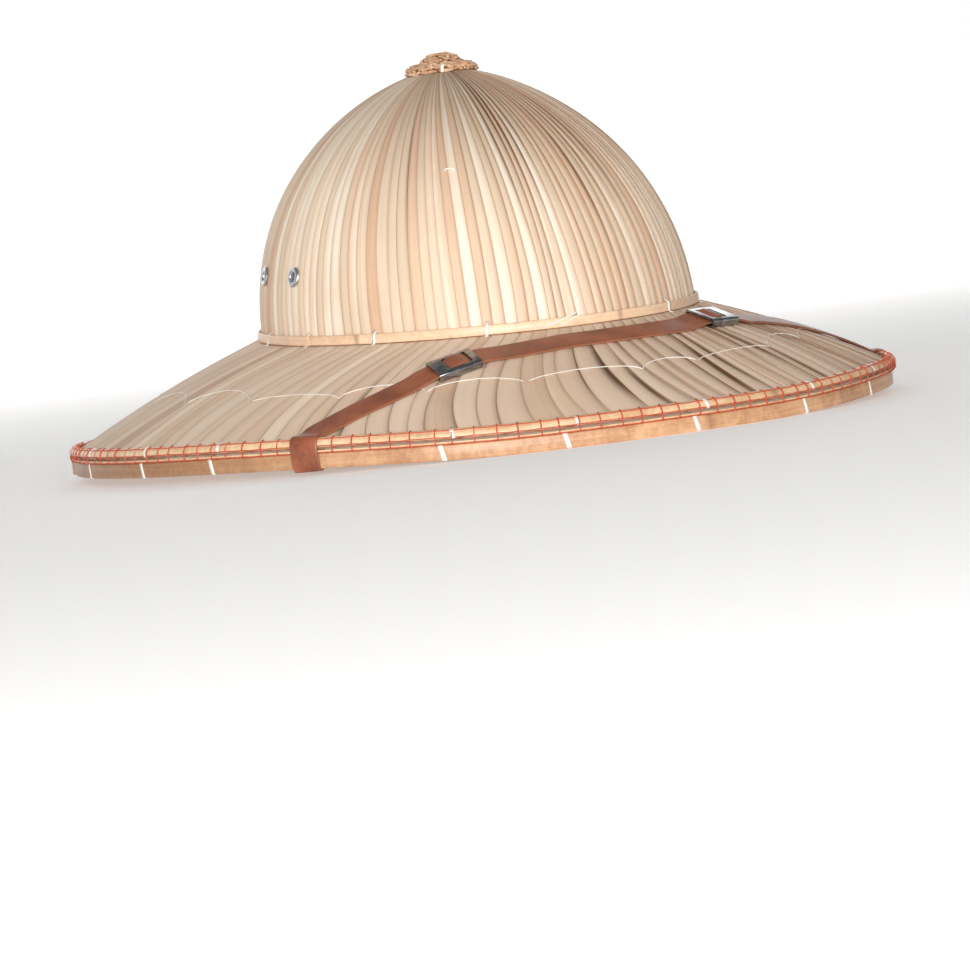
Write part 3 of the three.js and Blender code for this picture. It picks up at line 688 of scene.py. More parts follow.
def crown_piece():
    count, crowding = CROWN_STRIPS, 0.62
    shares = np.concatenate([np.linspace(0, 0.06, 4)[:-1],
                             1 - np.linspace(0.94 ** crowding, 0.004, 46) ** (1 / crowding)])
    rows = len(shares)
    edges, widths = strip_edges(count, CROWN_SPREADS, shares)
    angle = strip_grid(edges, widths)
    side = np.degrees(turn_between(edges[0]))
    loose = gaping(side, *CROWN_GAPES)
    peak = rng.uniform(0.6, 0.95, count)
    depth = loose * (0.8 + 0.4 * smoothstep(side, 25, 60))
    swell = gape_swell(shares, peak, 0.24) * depth[None, :]
    step = CROWN_STEP + CROWN_STEP_SPREAD * rng.random(count) + CROWN_GAPE_STEP * swell
    sink = per_strip(step) * np.tile(SINK, count)[None, :]
    sway = per_strip(strip_noise(count, rows)) * 0.16
    cup = np.tile(CUP, count)[None, :]
    reach = np.maximum(1 - shares ** DOME_SHOULDER, 0) ** (1 / DOME_ROUNDNESS)
    # The relief fades towards the button and at the foot
    fade = np.clip(reach / 0.42, 0.12, 1)[:, None] * np.clip(shares / 0.02, 0.25, 1)[:, None]
    out = (-sink + sway + cup - LEAF_SET_IN) * fade
    outer = crown_point(angle, shares[:, None] + 0 * angle, out)
    lining_shares = np.concatenate([[0.0], np.linspace(0.03, 0.93, 16), [0.99]])
    lining_angle = np.broadcast_to(angle[0], (len(lining_shares), angle.shape[1]))
    lining = crown_point(lining_angle, lining_shares[:, None] + 0 * lining_angle,
                         -CROWN_WALL + 0.25 * np.tile(SINK, count)[None, :])
    columns = angle.shape[1]
    tips = [crown_point(0.0, 1.0, -LEAF_SET_IN), crown_point(0.0, 1.0, -CROWN_WALL)]
    points = np.concatenate([outer[::-1].reshape(-1, 3), lining.reshape(-1, 3), tips])
    total = rows + len(lining_shares)
    faces = bowl_faces(total, columns)
    tone = per_strip(np.clip(0.55 + 0.23 * rng.normal(size=count), 0.08, 0.98))
    seam = per_strip(0.25 + 0.42 * rng.random(count) + 0.3 * swell)
    seam_rows = np.concatenate([seam[::-1], np.repeat(seam[:1], len(lining_shares), 0)])
    # Painted shade in the gaps where strips gape
    split = per_strip(0.7 * swell)[::-1] * np.tile(SPLIT_SHADE, count)
    split_rows = np.concatenate([split, np.zeros((len(lining_shares), columns))])
    # Painted shade: the leaves darken towards the top of the dome, carried by the attribute named rim
    painted_top_shade = np.append(0.36 * smoothstep(shares[::-1], 0.5, 1.0), 0 * lining_shares)
    uv = grain_map(np.concatenate([shares[::-1], lining_shares]) * CROWN_GRAIN, count, CROWN_STRIP_WIDTH)
    attributes = {
        "tone": np.append(np.tile(tone, total), [0.5, 0.5]),
        "edge": np.append(seam_rows * np.tile(EDGE_SHADE, count), [0, 0]),
        "inside": np.append(np.repeat([0.0] * rows + [1.0] * len(lining_shares), columns), [0, 1]),
        "split": np.append(split_rows, [0, 0]),
        "rim": np.append(np.repeat(painted_top_shade, columns), [painted_top_shade[0], 0]),
    }
    mesh = build_mesh("crown_leaves", points, faces, attributes, np.append(uv, [[0, 0], [0, 0]], 0))
    return cut_away(finish_piece(mesh, "crown_leaves", CROWN_LEAF, LEAF_CREASE), eyelet_drills())


def eyelet_drills():
    """The rods that open the leaves at the eyelets."""
    drills = bmesh.new()
    radius = (EYELET_HOLE + EYELET_BARREL_WALL + GAP) * MM
    for _, angle in EYELETS:
        turn = Vector((0, 0, 1)).rotation_difference(Vector(crown_normal(angle, EYELET_SHARE)))
        middle = Vector(crown_point(angle, EYELET_SHARE, 0)) * MM
        place = Matrix.Translation(middle) @ turn.to_matrix().to_4x4()
        bmesh.ops.create_cone(drills, cap_ends=True, segments=24, radius1=radius, radius2=radius,
                              depth=8 * CROWN_WALL * MM, matrix=place)
    return drills


def cut_away(piece, cutters):
    """Takes closed shapes out of a piece."""
    mesh = bpy.data.meshes.new("cutters")
    cutters.to_mesh(mesh)
    cutters.free()
    tool = linked("cutters", mesh)
    cut = piece.modifiers.new("cut", "BOOLEAN")
    cut.operation = "DIFFERENCE"
    cut.solver = "EXACT"
    cut.object = tool
    applied(piece)
    bpy.data.objects.remove(tool)
    return piece


def applied(piece):
    """Replaces a piece's mesh by what its modifiers make, and removes them."""
    graph = bpy.context.evaluated_depsgraph_get()
    mesh = bpy.data.meshes.new_from_object(piece.evaluated_get(graph), preserve_all_data_layers=True,
                                           depsgraph=graph)
    piece.modifiers.clear()
    piece.data = mesh


def brim_piece():
    count = BRIM_STRIPS
    shares = np.concatenate([[0.0, 0.015], np.linspace(0.04, 0.93, 30), [0.945, 0.96, 0.975, 0.99, 1.0]])
    rows = len(shares)
    edges, widths = strip_edges(count, BRIM_SPREADS, shares)
    angle = strip_grid(edges, widths)
    deep = gaping(np.degrees(turn_between(edges[0])), *BRIM_GAPES)
    step = BRIM_STEP + BRIM_STEP_SPREAD * rng.random(count)
    peak = rng.uniform(0.25, 0.8, count)
    swell = gape_swell(shares, peak, 0.26) * deep[None, :]
    step = step[None, :] + BRIM_GAPE_STEP * swell
    flat_foot = smoothstep(shares, 0.0, 0.04)[:, None]
    relief = (1 - 0.6 * smoothstep(shares, 0.93, 0.985)[:, None]) * flat_foot
    sink = per_strip(step * relief) * np.tile(SINK, count)[None, :]
    sway = (per_strip(strip_noise(count, rows, 2.0)) * 0.2 - 0.2) * relief
    cup = np.tile(CUP, count)[None, :] * relief
    top = brim_point(angle, shares[:, None] + 0 * angle, sink - sway - cup + 0.05 * flat_foot)
    under_sink = (per_strip(0.25 + 0.4 * rng.random(count)) * np.tile(1 - SINK, count))[None, :]
    wall = brim_wall_at(shares)[:, None]
    deepest = np.maximum(sink + THINNEST_LEAF, wall + under_sink * relief)
    ends = smoothstep(relief, 0.5, 0.9)
    under = brim_point(angle, shares[:, None] + 0 * angle, wall + (deepest - wall) * ends)
    seat_top = crown_point(angle[0], 0 * angle[0], -CROWN_WALL, -GAP)
    seat_low = crown_point(angle[0], 0 * angle[0], -CROWN_WALL, -GAP - BRIM_WALL)
    edge_mid = brim_point(angle[-1], np.ones_like(angle[-1]), 0.5 * BRIM_EDGE_WALL)
    edge_mid[:, :2] *= 1 + EDGE_BULGE
    grid = np.concatenate([seat_top[None], top, edge_mid[None], under[::-1], seat_low[None]])
    total, columns = grid.shape[:2]
    faces = grid_faces(total, columns, True, True)
    tone = per_strip(np.clip(0.5 + 0.18 * rng.normal(size=count), 0.1, 0.95))
    seam = np.broadcast_to(per_strip(np.clip(step - 0.35, 0.15, 0.9)), (rows, columns))
    # Painted shade in the gaps where strips gape, half as strong underneath
    split = per_strip(0.8 * swell)
    none = 0 * split[:1]
    split_rows = np.concatenate([none, split, none, 0.5 * split[::-1], none])
    # Painted shade in the recess at the rim's edge, on top and just under it, carried by the attribute named
    # rim
    rim = np.concatenate([[0], shares > 0.995, [1], (shares > 0.97)[::-1], [0]]).astype(float)
    seam_rows = np.concatenate([seam[:1], seam, seam[-1:], seam[::-1] * 0.5, seam[:1]])
    along = np.concatenate([[0], shares, [1], shares[::-1], [0]]) * BRIM_GRAIN
    uv = grain_map(along, count, BRIM_STRIP_WIDTH)
    attributes = {
        "tone": np.tile(tone, total),
        "edge": (seam_rows * np.tile(EDGE_SHADE, count)).ravel(),
        "inside": np.repeat([0.0] * (rows + 2) + [1.0] * (rows + 1), columns),
        "split": (split_rows * np.tile(SPLIT_SHADE, count)).ravel(),
        "rim": np.repeat(rim, columns),
    }
    mesh = build_mesh("brim_leaves", grid.reshape(-1, 3), faces, attributes, uv)
    return finish_piece(mesh, "brim_leaves", BRIM_LEAF, LEAF_CREASE)


# Hoops and canes

# A split cane's section, flat below and round above, from its outer edge inwards
SPLIT_CANE = [(0, 0), (0, 0.3), (0.02, 0.55), (0.1, 0.78), (0.24, 0.93), (0.42, 1.0), (0.62, 0.99),
              (0.84, 0.84), (0.97, 0.62), (1, 0.35), (1, 0), (0.5, 0)]
# Angles of the joints in degrees from the front
HOOP_JOINTS = (7, 33, -56, -97, 76, 121, 166, -141)
LOWER_CANE_JOINTS = (-21, 52, 103, 188, -88)
UPPER_CANE_JOINTS = (-31, 18, 71, 133, 205, -108)
BAND_JOINTS = (-58, 12, 80, 150, 222)
# Where a hoop's ends lap over each other and how far, and the middle and reach of the stretch where the
# bamboo is darker
HOOP_SPLICE, BAND_SPLICE = np.radians((-118, 9)), np.radians((-81, 7))
HOOP_DARK_STRETCH = np.radians((-95, 70))


def rim_hoop_piece():
    def place(a, across, rise):
        return rim_point(a, -across * HOOP_THICKNESS, rise * HOOP_HEIGHT)
    section = rounded_section(0.28, HOOP_HEIGHT / HOOP_THICKNESS)
    mesh = hoop_mesh("hoop", section, place, HOOP_JOINTS, HOOP_SPLICE, 360, HOOP_DARK_STRETCH)
    return finish_piece(mesh, "bamboo_hoop", BAMBOO)


def lower_cane_piece():
    def place(a, across, rise):
        out = CANE_OVERHANG - across * LOWER_CANE_WIDTH
        return rim_point(a, out, LOWER_CANE_BOTTOM + rise * LOWER_CANE_HEIGHT)
    section = rounded_section(0.45, LOWER_CANE_HEIGHT / LOWER_CANE_WIDTH)
    return finish_piece(hoop_mesh("lower_cane", section, place, LOWER_CANE_JOINTS), "lower_cane", CANE)


def upper_cane_piece():
    def place(a, across, rise):
        out = CANE_OVERHANG - across * UPPER_CANE_WIDTH
        return rim_point(a, out, upper_cane_up(out, rise))
    return finish_piece(hoop_mesh("upper_cane", SPLIT_CANE, place, UPPER_CANE_JOINTS), "upper_cane", CANE)


def crown_band_piece():
    def place(a, across, rise):
        return crown_point(a, rise * BAND_HEIGHT / DOME_HEIGHT + 0 * a, BAND_REACH - across * BAND_THICKNESS)
    section = rounded_section(0.4, BAND_HEIGHT / BAND_THICKNESS)
    return finish_piece(hoop_mesh("band", section, place, BAND_JOINTS, BAND_SPLICE), "band_cane", BAND_CANE)


def brim_ring_piece():
    def place(a, across, rise):
        flat = (brim_point(a, 1.0) - brim_point(a, 0.0))[..., :2]
        run = np.linalg.norm(flat, axis=-1)
        return brim_point(a, RING_REACH - across * RING_WIDTH / run, UNDER_LEAVES + rise * RING_HEIGHT)
    section = rounded_section(0.4, RING_HEIGHT / RING_WIDTH)
    return finish_piece(hoop_mesh("under_ring", section, place), "under_ring_cane", DARK_CANE)


# Small shapes set round a path by a node tree

def scatter_tree():
    """Sets copies of a shape on points, turned by the points' own angles, as one real mesh."""
    tree = bpy.data.node_groups.new("set_round_path", "GeometryNodeTree")
    for name, kind in (("Points", "Geometry"), ("Shape", "Object"), ("Material", "Material"),
                       ("Size spread", "Float"), ("Turn spread", "Float"), ("Seed", "Int")):
        tree.interface.new_socket(name, in_out="INPUT", socket_type="NodeSocket" + kind)
    tree.interface.new_socket("Mesh", in_out="OUTPUT", socket_type="NodeSocketGeometry")
    g = TreeMaker(tree)
    given = {socket.name: Channel(g, socket) for socket in tree.nodes.new("NodeGroupInput").outputs}
    size, tilt, seed = given["Size spread"], given["Turn spread"], given["Seed"]
    shape = g.node("GeometryNodeObjectInfo", {"Object": given["Shape"]}, "Geometry")
    scale = g.node("FunctionNodeRandomValue", {2: 1 - size, 3: 1 + size, "Seed": seed}, 1)
    tilt = g.node("FunctionNodeRandomValue", {2: -1 * tilt, 3: tilt, "Seed": seed}, 1)
    turn = g.node("GeometryNodeInputNamedAttribute", {"Name": "turn"}, data_type="FLOAT_VECTOR")
    turn = g.node("ShaderNodeVectorMath", (turn, g.node("ShaderNodeCombineXYZ", {"X": tilt})))
    copies = g.node("GeometryNodeInstanceOnPoints",
                    {"Points": given["Points"], "Instance": shape, "Rotation": turn, "Scale": scale})
    real = g.node("GeometryNodeRealizeInstances", (copies,))
    coat = g.node("GeometryNodeSetMaterial", {"Geometry": real, "Material": given["Material"]})
    tree.links.new(coat.socket, tree.nodes.new("NodeGroupOutput").inputs["Mesh"])
    return tree


SET_ROUND = scatter_tree()


def set_round(name, shape_mesh, places, turns, material, size_spread=0.0, turn_spread=0.0, seed=1):
    """One piece of copies of a shape at places in millimetres, each turned by XYZ angles."""
    shape = linked(name + "_shape", shape_mesh)
    mesh = bpy.data.meshes.new(name)
    mesh.from_pydata((np.asarray(places) * MM).tolist(), [], [])
    layer = mesh.attributes.new("turn", "FLOAT_VECTOR", "POINT")
    layer.data.foreach_set("vector", np.asarray(turns, np.float32).ravel())
    piece = linked(name, mesh)
    work = piece.modifiers.new("set", "NODES")
    work.node_group = SET_ROUND
    values = {"Shape": shape, "Material": material, "Size spread": size_spread,
              "Turn spread": turn_spread, "Seed": seed}
    for item in SET_ROUND.interface.items_tree:
        if item.in_out == "INPUT" and item.name in values:
            work[item.identifier] = values[item.name]
    applied(piece)
    bpy.data.objects.remove(shape)
    for face in piece.data.polygons:
        face.use_smooth = True
    return piece


def turns_round(angle, half_width=RIM_HALF_WIDTH, half_length=RIM_HALF_LENGTH):
    """Turns that set a shape's X along the rim, or along another oval, and its Y inwards."""
    along = np.arctan2(half_length * np.sin(angle), half_width * np.cos(angle))
    return np.stack([0 * angle, 0 * angle, along], -1)


def even_rim_angles(spacing, jitter):
    """Angles about evenly spaced along the rim, with a random shift of up to jitter of the spacing."""
    fine = np.linspace(0, TURN, 2001)
    length = running_length(rim_point(fine, 0, 0))
    count = int(round(length[-1] / spacing))
    wanted = (np.arange(count) + jitter * rng.uniform(-1, 1, count)) / count * length[-1]
    return np.interp(wanted % length[-1], length, fine)


STITCH_SPACING, STITCH_JITTER, STITCH_RADIUS, STITCH_TILT = 8.4, 0.12, 0.3, 0.04
RUN_RADIUS, RUN_SLACK_WAVES, RUN_STATIONS = 0.24, 60, 6


def stitch_shape():
    """A thread loop from under the lower cane, across the leaf edge and over the upper cane."""
    outer = CANE_OVERHANG + 0.22
    inner = CANE_OVERHANG - UPPER_CANE_WIDTH
    path = [(CANE_OVERHANG - 1.2, LOWER_CANE_BOTTOM - 0.12), (outer - 0.1, LOWER_CANE_BOTTOM - 0.1),
            (outer, LOWER_CANE_BOTTOM + 0.5), (outer - 0.05, LEAF_EDGE_BOTTOM),
            (outer - 0.25, LEAF_EDGE_TOP - 0.2), (outer, upper_cane_up(1, 0.1)),
            (outer, upper_cane_up(1, 0.62)), (0.35, upper_cane_up(0.35, 1.0)),
            (-0.6, upper_cane_up(-0.6, 1.12)), (inner + 0.5, upper_cane_up(inner + 0.5, 0.92)),
            (inner - 0.25, upper_cane_up(inner, 0.3)), (inner - 0.5, upper_cane_up(inner, -0.1))]
    return tube_mesh("stitch", [(0, -out, up) for out, up in path], STITCH_RADIUS)


def stitch_pieces():
    angle = even_rim_angles(STITCH_SPACING, STITCH_JITTER)
    stitches = set_round("edge_stitches", stitch_shape(), rim_point(angle, 0, 0), turns_round(angle),
                         RED_THREAD, turn_spread=STITCH_TILT, seed=3)
    count = len(angle)
    fine = np.arange(RUN_STATIONS * count) / (RUN_STATIONS * count) * count
    knots = np.sort(angle)
    run_angle = np.interp(fine, np.arange(count + 1), np.append(knots, knots[0] + TURN))
    runs = []
    for name, out, up, sag in (("upper_run", CANE_OVERHANG + 0.2, upper_cane_up(1, 0.2), 0.3),
                               ("top_run", -0.2, upper_cane_up(-0.2, 1.1), 0.35),
                               ("lower_run", CANE_OVERHANG + 0.15, LOWER_CANE_BOTTOM + 0.05, 0.15)):
        ease = 0.5 + 0.5 * smooth_noise(len(fine), RUN_SLACK_WAVES)
        path = rim_point(run_angle, out + 0.05, up - sag * np.sin(math.pi * (fine % 1)) * ease)
        mesh = tube_mesh(name, path, RUN_RADIUS, sides=5, closed=True)
        runs.append(finish_piece(mesh, "thread_" + name, RED_THREAD, NO_CREASE))
    return [stitches, *runs]


# A tie's section: across as a share of its width, and rise of its thickness
TIE_SECTION = [(-0.5, 0), (0.5, 0), (0.5, 1), (0.35, 1.3), (-0.35, 1.3), (-0.5, 1)]


def strip_loop(name, outline, width, thickness, slant):
    """A flat tie bent along an outline of (out, up), leaning along the rim as it climbs."""
    outline = np.array(outline, float)
    tangent = unit(np.gradient(outline, axis=0))
    normal = np.stack([tangent[:, 1], -tangent[:, 0]], -1)
    points = []
    for place, away in zip(outline, normal):
        lean = slant * (place[1] - outline[:, 1].mean())
        for across, rise in TIE_SECTION:
            out, up = place + away * rise * thickness
            points.append((across * width + lean, -out, up))
    return build_mesh(name, points, bar_faces(len(outline), len(TIE_SECTION)))


# Angles of the ties in degrees from the front: those seen in the photo, then on round the back
HOOP_TIES = [-76, -62, -29, -13, 5, 24, 42, 58, 76, 93, 110, 127, 145, 163, 181, 199, 216, 233, 250, 267]
BAND_TIES = [-75, -53, -24, 31, 58, 88, 118, 148, 178, 208, 238, 264]
THREAD_TIES = [-176, -158, -141, -122, -103, -85, -66, -48, -33, -17, 3, 14, 33, 47, 62, 80, 98, 117, 135,
               154, 172]
THREAD_REACH, THREAD_BOW, THREAD_RADIUS = 0.57, (0.03, 0.12), 0.22
CANE_TIE_SHIFT = 1.6
# The ties at the hoop's front and back, where it rests, stay this far above the ground
TIE_FLOOR, TIE_FLOOR_ANGLE = 0.23, math.radians(20)


def hoop_tie_pieces():
    outline = [(-0.2, HOOP_HEIGHT + 0.05), (0.12, HOOP_HEIGHT - 0.1), (0.16, HOOP_HEIGHT / 2), (0.12, 0.35),
               (-0.25, -0.08), (-HOOP_THICKNESS + 0.3, -0.08), (-HOOP_THICKNESS - 0.12, 0.35),
               (-HOOP_THICKNESS - 0.16, HOOP_HEIGHT / 2), (-HOOP_THICKNESS - 0.12, HOOP_HEIGHT - 0.1),
               (-HOOP_THICKNESS - 1.6, HOOP_HEIGHT + 1.6), (-HOOP_THICKNESS - 3.2, HOOP_HEIGHT + 3.0)]
    angle = np.radians(np.array(HOOP_TIES, float))
    lifted = np.abs(np.sin(angle)) > math.sin(TIE_FLOOR_ANGLE)
    flat_outline = [(out, max(up, TIE_FLOOR)) for out, up in outline]
    ties = []
    for name, some, line in (("hoop_ties", angle[lifted], outline),
                             ("hoop_front_ties", angle[~lifted], flat_outline)):
        shape = strip_loop(name, line, width=2.0, thickness=0.28, slant=-0.22)
        ties.append(set_round(name, shape, rim_point(some, 0, 0), turns_round(some), WHITE_TIE, seed=2))
    return ties


def cane_tie_piece():
    """The same white ties where they cross the upper cane."""
    inner = CANE_OVERHANG - UPPER_CANE_WIDTH
    outline = [(0.6, upper_cane_up(0.6, -0.12)), (CANE_OVERHANG + 0.05, upper_cane_up(1, 0.05)),
               (CANE_OVERHANG + 0.08, upper_cane_up(1, 0.6)), (0.4, upper_cane_up(0.4, 1.02)),
               (-0.6, upper_cane_up(-0.6, 1.06)), (inner + 0.4, upper_cane_up(inner + 0.4, 0.86)),
               (inner - 0.1, upper_cane_up(inner, 0.3)), (inner - 0.5, upper_cane_up(inner, -0.3))]
    angle = np.radians(np.array(HOOP_TIES, float) + CANE_TIE_SHIFT)
    shape = strip_loop("cane_ties", outline, width=1.5, thickness=0.2, slant=-0.2)
    return set_round("cane_ties", shape, rim_point(angle, 0, 0), turns_round(angle), WHITE_TIE,
                     turn_spread=0.04, seed=4)


def band_tie_piece():
    top = BAND_HEIGHT
    outline = [(-0.6, top + 1.6), (0.1, top + 0.9), (BAND_REACH + 0.02, top - 0.2),
               (BAND_REACH + 0.08, top / 2), (BAND_REACH + 0.1, 0.4), (BAND_REACH + 0.5, -0.15),
               (BAND_REACH + 1.6, -0.2)]
    angle = np.radians(np.array(BAND_TIES, float))
    turns = turns_round(angle, CROWN_HALF_WIDTH, CROWN_HALF_LENGTH)
    shape = strip_loop("band_ties", outline, width=1.5, thickness=0.25, slant=0.1)
    return set_round("band_ties", shape, crown_point(angle, 0 * angle, 0), turns, WHITE_TIE,
                     turn_spread=0.05, seed=5)


def loose_tail_pieces():
    """The frayed tail of a tie, which lies aslant over the band."""
    t = np.linspace(0, 1, 16)
    tails = []
    for name, start, stop, rise, radius in (("long", -9.5, -1.0, 4.6, 0.42),
                                            ("short", -5.5, -0.4, 3.4, 0.3)):
        angle = np.radians(start + (stop - start) * t)
        height = 0.5 + rise * t ** 0.8 + 0.15 * np.sin(9 * t)
        path = crown_point(angle, height / DOME_HEIGHT, BAND_REACH + radius + 0.1 * np.sin(7 * t))
        mesh = tube_mesh("tail", path, radius, sides=7)
        tails.append(finish_piece(mesh, "tie_tail_" + name, WHITE_TIE, NO_CREASE))
    return tails


def brim_thread_piece():
    """The white running thread that ties the under-brim ring: it bows up the slope between its ties."""
    ties = np.radians(np.array(THREAD_TIES, float))
    ends = np.append(ties, ties[0] + TURN)
    angle, reach, sunk = [], [], []
    for start, stop in zip(ends[:-1], ends[1:]):
        t = np.linspace(0, 1, 24, endpoint=False)
        bow = rng.uniform(*THREAD_BOW)
        angle.append(start + (stop - start) * t)
        reach.append(THREAD_REACH - bow * np.sin(math.pi * t) ** 0.7)
        sunk.append(0.9 * np.exp(-np.minimum(t, 1 - t) * 26))
    angle, reach, sunk = map(np.concatenate, (angle, reach, sunk))
    path = brim_point(angle, reach, sunk - THREAD_RADIUS)
    mesh = tube_mesh("thread", path, THREAD_RADIUS, closed=True)
    return finish_piece(mesh, "brim_thread", WHITE_TIE, NO_CREASE)


# Straw button

# The button's outline: its height over the dome, as a share of its own height, at shares of its radius
BUTTON_PROFILE = [(1.0, 0.06), (1.02, 0.26), (0.97, 0.42), (0.86, 0.5), (0.74, 0.46), (0.64, 0.5),
                  (0.52, 0.74), (0.36, 0.92), (0.16, 1.0), (0.03, 1.0)]
# Rings of straw strands: share of the radius, how many, and how far they slant out of the ring's line
STRAW_RINGS = [(1.03, 38, 0.45), (1.0, 38, -0.45), (0.95, 36, 0.5), (0.87, 32, -0.5), (0.79, 29, 0.55),
               (0.71, 26, -0.5), (0.62, 23, 0.6), (0.53, 19, -0.6), (0.44, 16, 0.6), (0.34, 12, -0.7),
               (0.24, 9, 0.8), (0.14, 6, -0.9), (0.05, 3, 1.2)]
# A strand's half length, half width and half thickness in millimetres, and how much it narrows
STRAND_SIZE, STRAND_TAPER = (2.1, 0.82, 0.62), 0.2


def straw_strand():
    strand = bpy.data.meshes.new("strand")
    length, width, thickness = STRAND_SIZE
    with edited(strand) as work:
        bmesh.ops.create_uvsphere(work, u_segments=10, v_segments=7, radius=1.0)
        for vert in work.verts:
            x, y, z = vert.co
            vert.co = Vector((x * length, y * (width - STRAND_TAPER * abs(x)), z * thickness)) * MM
    return strand


def button_pieces():
    sides = 48
    bed_radius, bed_height = BUTTON_RADIUS - 0.9, BUTTON_HEIGHT - 0.9
    angle = np.arange(sides) / sides * TURN
    rows = np.array([dome_top_point(angle, np.full(sides, share * bed_radius), GAP + height * bed_height)
                     for share, height in [(1.0, 0.0), *BUTTON_PROFILE]])
    tips = [dome_top_point(0.0, 0.0, GAP), dome_top_point(0.0, 0.0, bed_height)]
    points = np.concatenate([rows.reshape(-1, 3), tips])
    mesh = build_mesh("bed", points, bowl_faces(len(rows), sides))
    # The bed under the strands takes the dark brown of painted shade in the weave's gaps
    bed = finish_piece(mesh, "button_bed", STRAW_SHADE)
    shares, heights = np.array(BUTTON_PROFILE).T
    places, turns = [], []
    for share, count, slant in STRAW_RINGS:
        a = np.arange(count) / count * TURN + rng.uniform(0, 1) + 0.05 * rng.normal(size=count)
        spread = np.clip(share + 0.012 * rng.normal(size=count), 0.02, 1.04)
        height = np.interp(spread, shares[::-1], heights[::-1])
        height = np.where(spread > 0.98, 0.12 if share > 1 else 0.34, height)
        lift = GAP + height * bed_height + 0.16 * rng.normal(size=count)
        places.append(dome_top_point(a, spread * bed_radius, np.clip(lift, GAP + 0.4, BUTTON_HEIGHT + 0.2)))
        tip_over = 1.2 * (share > 0.98) + 0.35 * (0.4 < share < 0.65)
        turns.append(np.stack([np.full(count, -tip_over), 0.12 * rng.normal(size=count),
                               a + slant + 0.15 * rng.normal(size=count)], -1))
    weave = set_round("button_weave", straw_strand(), np.concatenate(places), np.concatenate(turns), STRAW,
                      size_spread=0.2, turn_spread=0.2, seed=9)
    tie_angle = np.array([-0.35, 1.9, 4.1])
    spots = dome_top_point(tie_angle, np.full(3, BUTTON_RADIUS - 0.6), GAP + 0.3)
    outline = [(0.9, -0.6), (0.95, 1.4), (0.1, 2.9), (-2.4, 3.2), (-4.0, 3.0)]
    tie = strip_loop("button_ties", outline, width=1.3, thickness=0.25, slant=0.1)
    ties = set_round("button_ties", tie, spots, turns_round(tie_angle, 1, 1), WHITE_TIE)
    return bed, weave, ties


def crown_knot_piece():
    """A small pale knot where a strip was mended, near the front of the crown."""
    angle, share = math.radians(-28), 0.62
    middle = crown_point(angle, share, 0.1)
    across = unit(crown_point(angle + NUDGE, share, 0) - crown_point(angle - NUDGE, share, 0))
    outward = crown_normal(angle, share)
    bow = [(-2.4, -0.9), (-1.8, 0.1), (-0.9, 0.35), (0, 0.55), (0.8, 0.4), (1.7, 0.1), (2.3, -0.9)]
    path = [middle + across * x + outward * rise for x, rise in bow]
    return finish_piece(tube_mesh("knot", path, 0.42, sides=7), "crown_knot", WHITE_TIE, NO_CREASE)


# Eyelets and rivets

QUARTER, EYELET_TURN = math.pi / 2, math.asin(EYELET_SPACING / 2 / CROWN_HALF_LENGTH)
EYELETS = [("eyelet_right_front", -QUARTER + EYELET_TURN), ("eyelet_right_rear", -QUARTER - EYELET_TURN),
           ("eyelet_left_front", QUARTER - EYELET_TURN), ("eyelet_left_rear", QUARTER + EYELET_TURN)]
EYELET_SHARE = EYELET_HEIGHT / DOME_HEIGHT


def eyelet_piece(name, angle):
    hole, barrel, rim = EYELET_HOLE + 0.25, EYELET_HOLE + EYELET_BARREL_WALL, EYELET_RADIUS + 0.35
    depth = CROWN_WALL + GAP
    profile = [(barrel, -depth), (barrel, GAP - 0.1), (rim - 0.25, GAP - 0.05), (rim, GAP + 0.18),
               (rim - 0.15, GAP + 0.5), (rim - 0.6, GAP + 0.86), (rim - 1.15, GAP + EYELET_FLANGE),
               (hole + 0.35, GAP + 0.92), (hole + 0.08, GAP + 0.7), (hole, GAP + 0.3), (hole, -depth)]
    mesh = lathe_mesh(name, profile, crown_normal(angle, EYELET_SHARE), crown_point(angle, EYELET_SHARE, 0))
    return finish_piece(mesh, name + "_ring", BRIGHT_METAL, METAL_CREASE)


def rivet_piece(name, degrees):
    angle = math.radians(degrees)
    foot = STRAP_THICKNESS + 3 * GAP
    profile = [(0, GAP - RIVET_DEPTH), (1.2, GAP - RIVET_DEPTH), (1.2, foot), (RIVET_HEAD_RADIUS, foot),
               (RIVET_HEAD_RADIUS, foot + 0.25), (0.8 * RIVET_HEAD_RADIUS, foot + 0.65),
               (0.4 * RIVET_HEAD_RADIUS, foot + RIVET_HEAD_THICKNESS), (0, foot + RIVET_HEAD_THICKNESS)]
    mesh = lathe_mesh(name, profile, foot_inward(angle), foot_point(angle, RIVET_HEIGHT, 0))
    return finish_piece(mesh, name + "_pin", METAL, METAL_CREASE)


# Chin strap

STRAP_OVER_BRIM = [
    (-47.0, 0.925, "brim"), (-46.5, 0.89, "brim"), (-45.6, 0.855, "brim"), (-42.5, 0.729, "brim"),
    (-36.4, 0.537, "brim"), (-33.4, 0.462, "slider"), (-24.6, 0.302, "slider"), (-19.5, 0.247, "brim"),
    (-7.4, 0.195, "brim"), (6.3, 0.19, "brim"), (18.2, 0.193, "brim"), (23.5, 0.196, "brim"),
    (27.6, 0.2, "slider"), (38.6, 0.238, "slider"), (43.2, 0.268, "brim"), (47.7, 0.307, "brim"),
    (57.3, 0.448, "brim"), (66.1, 0.652, "brim"), (72.5, 0.855, "brim"), (73.4, 0.89, "brim"),
    (73.9, 0.925, "brim"),
]
STRAP_LIFTS = {"brim": GAP, "slider": 2 * GAP + SLIDER_WALL + SLIDER_PLAY}
STRAP_UNDER_BRIM = [(0.9, "leaves"), (0.72, "leaves"), (0.64, "ring"), (0.5, "ring"), (0.42, "leaves"),
                    (0.2, "leaves"), (0.04, "leaves")]
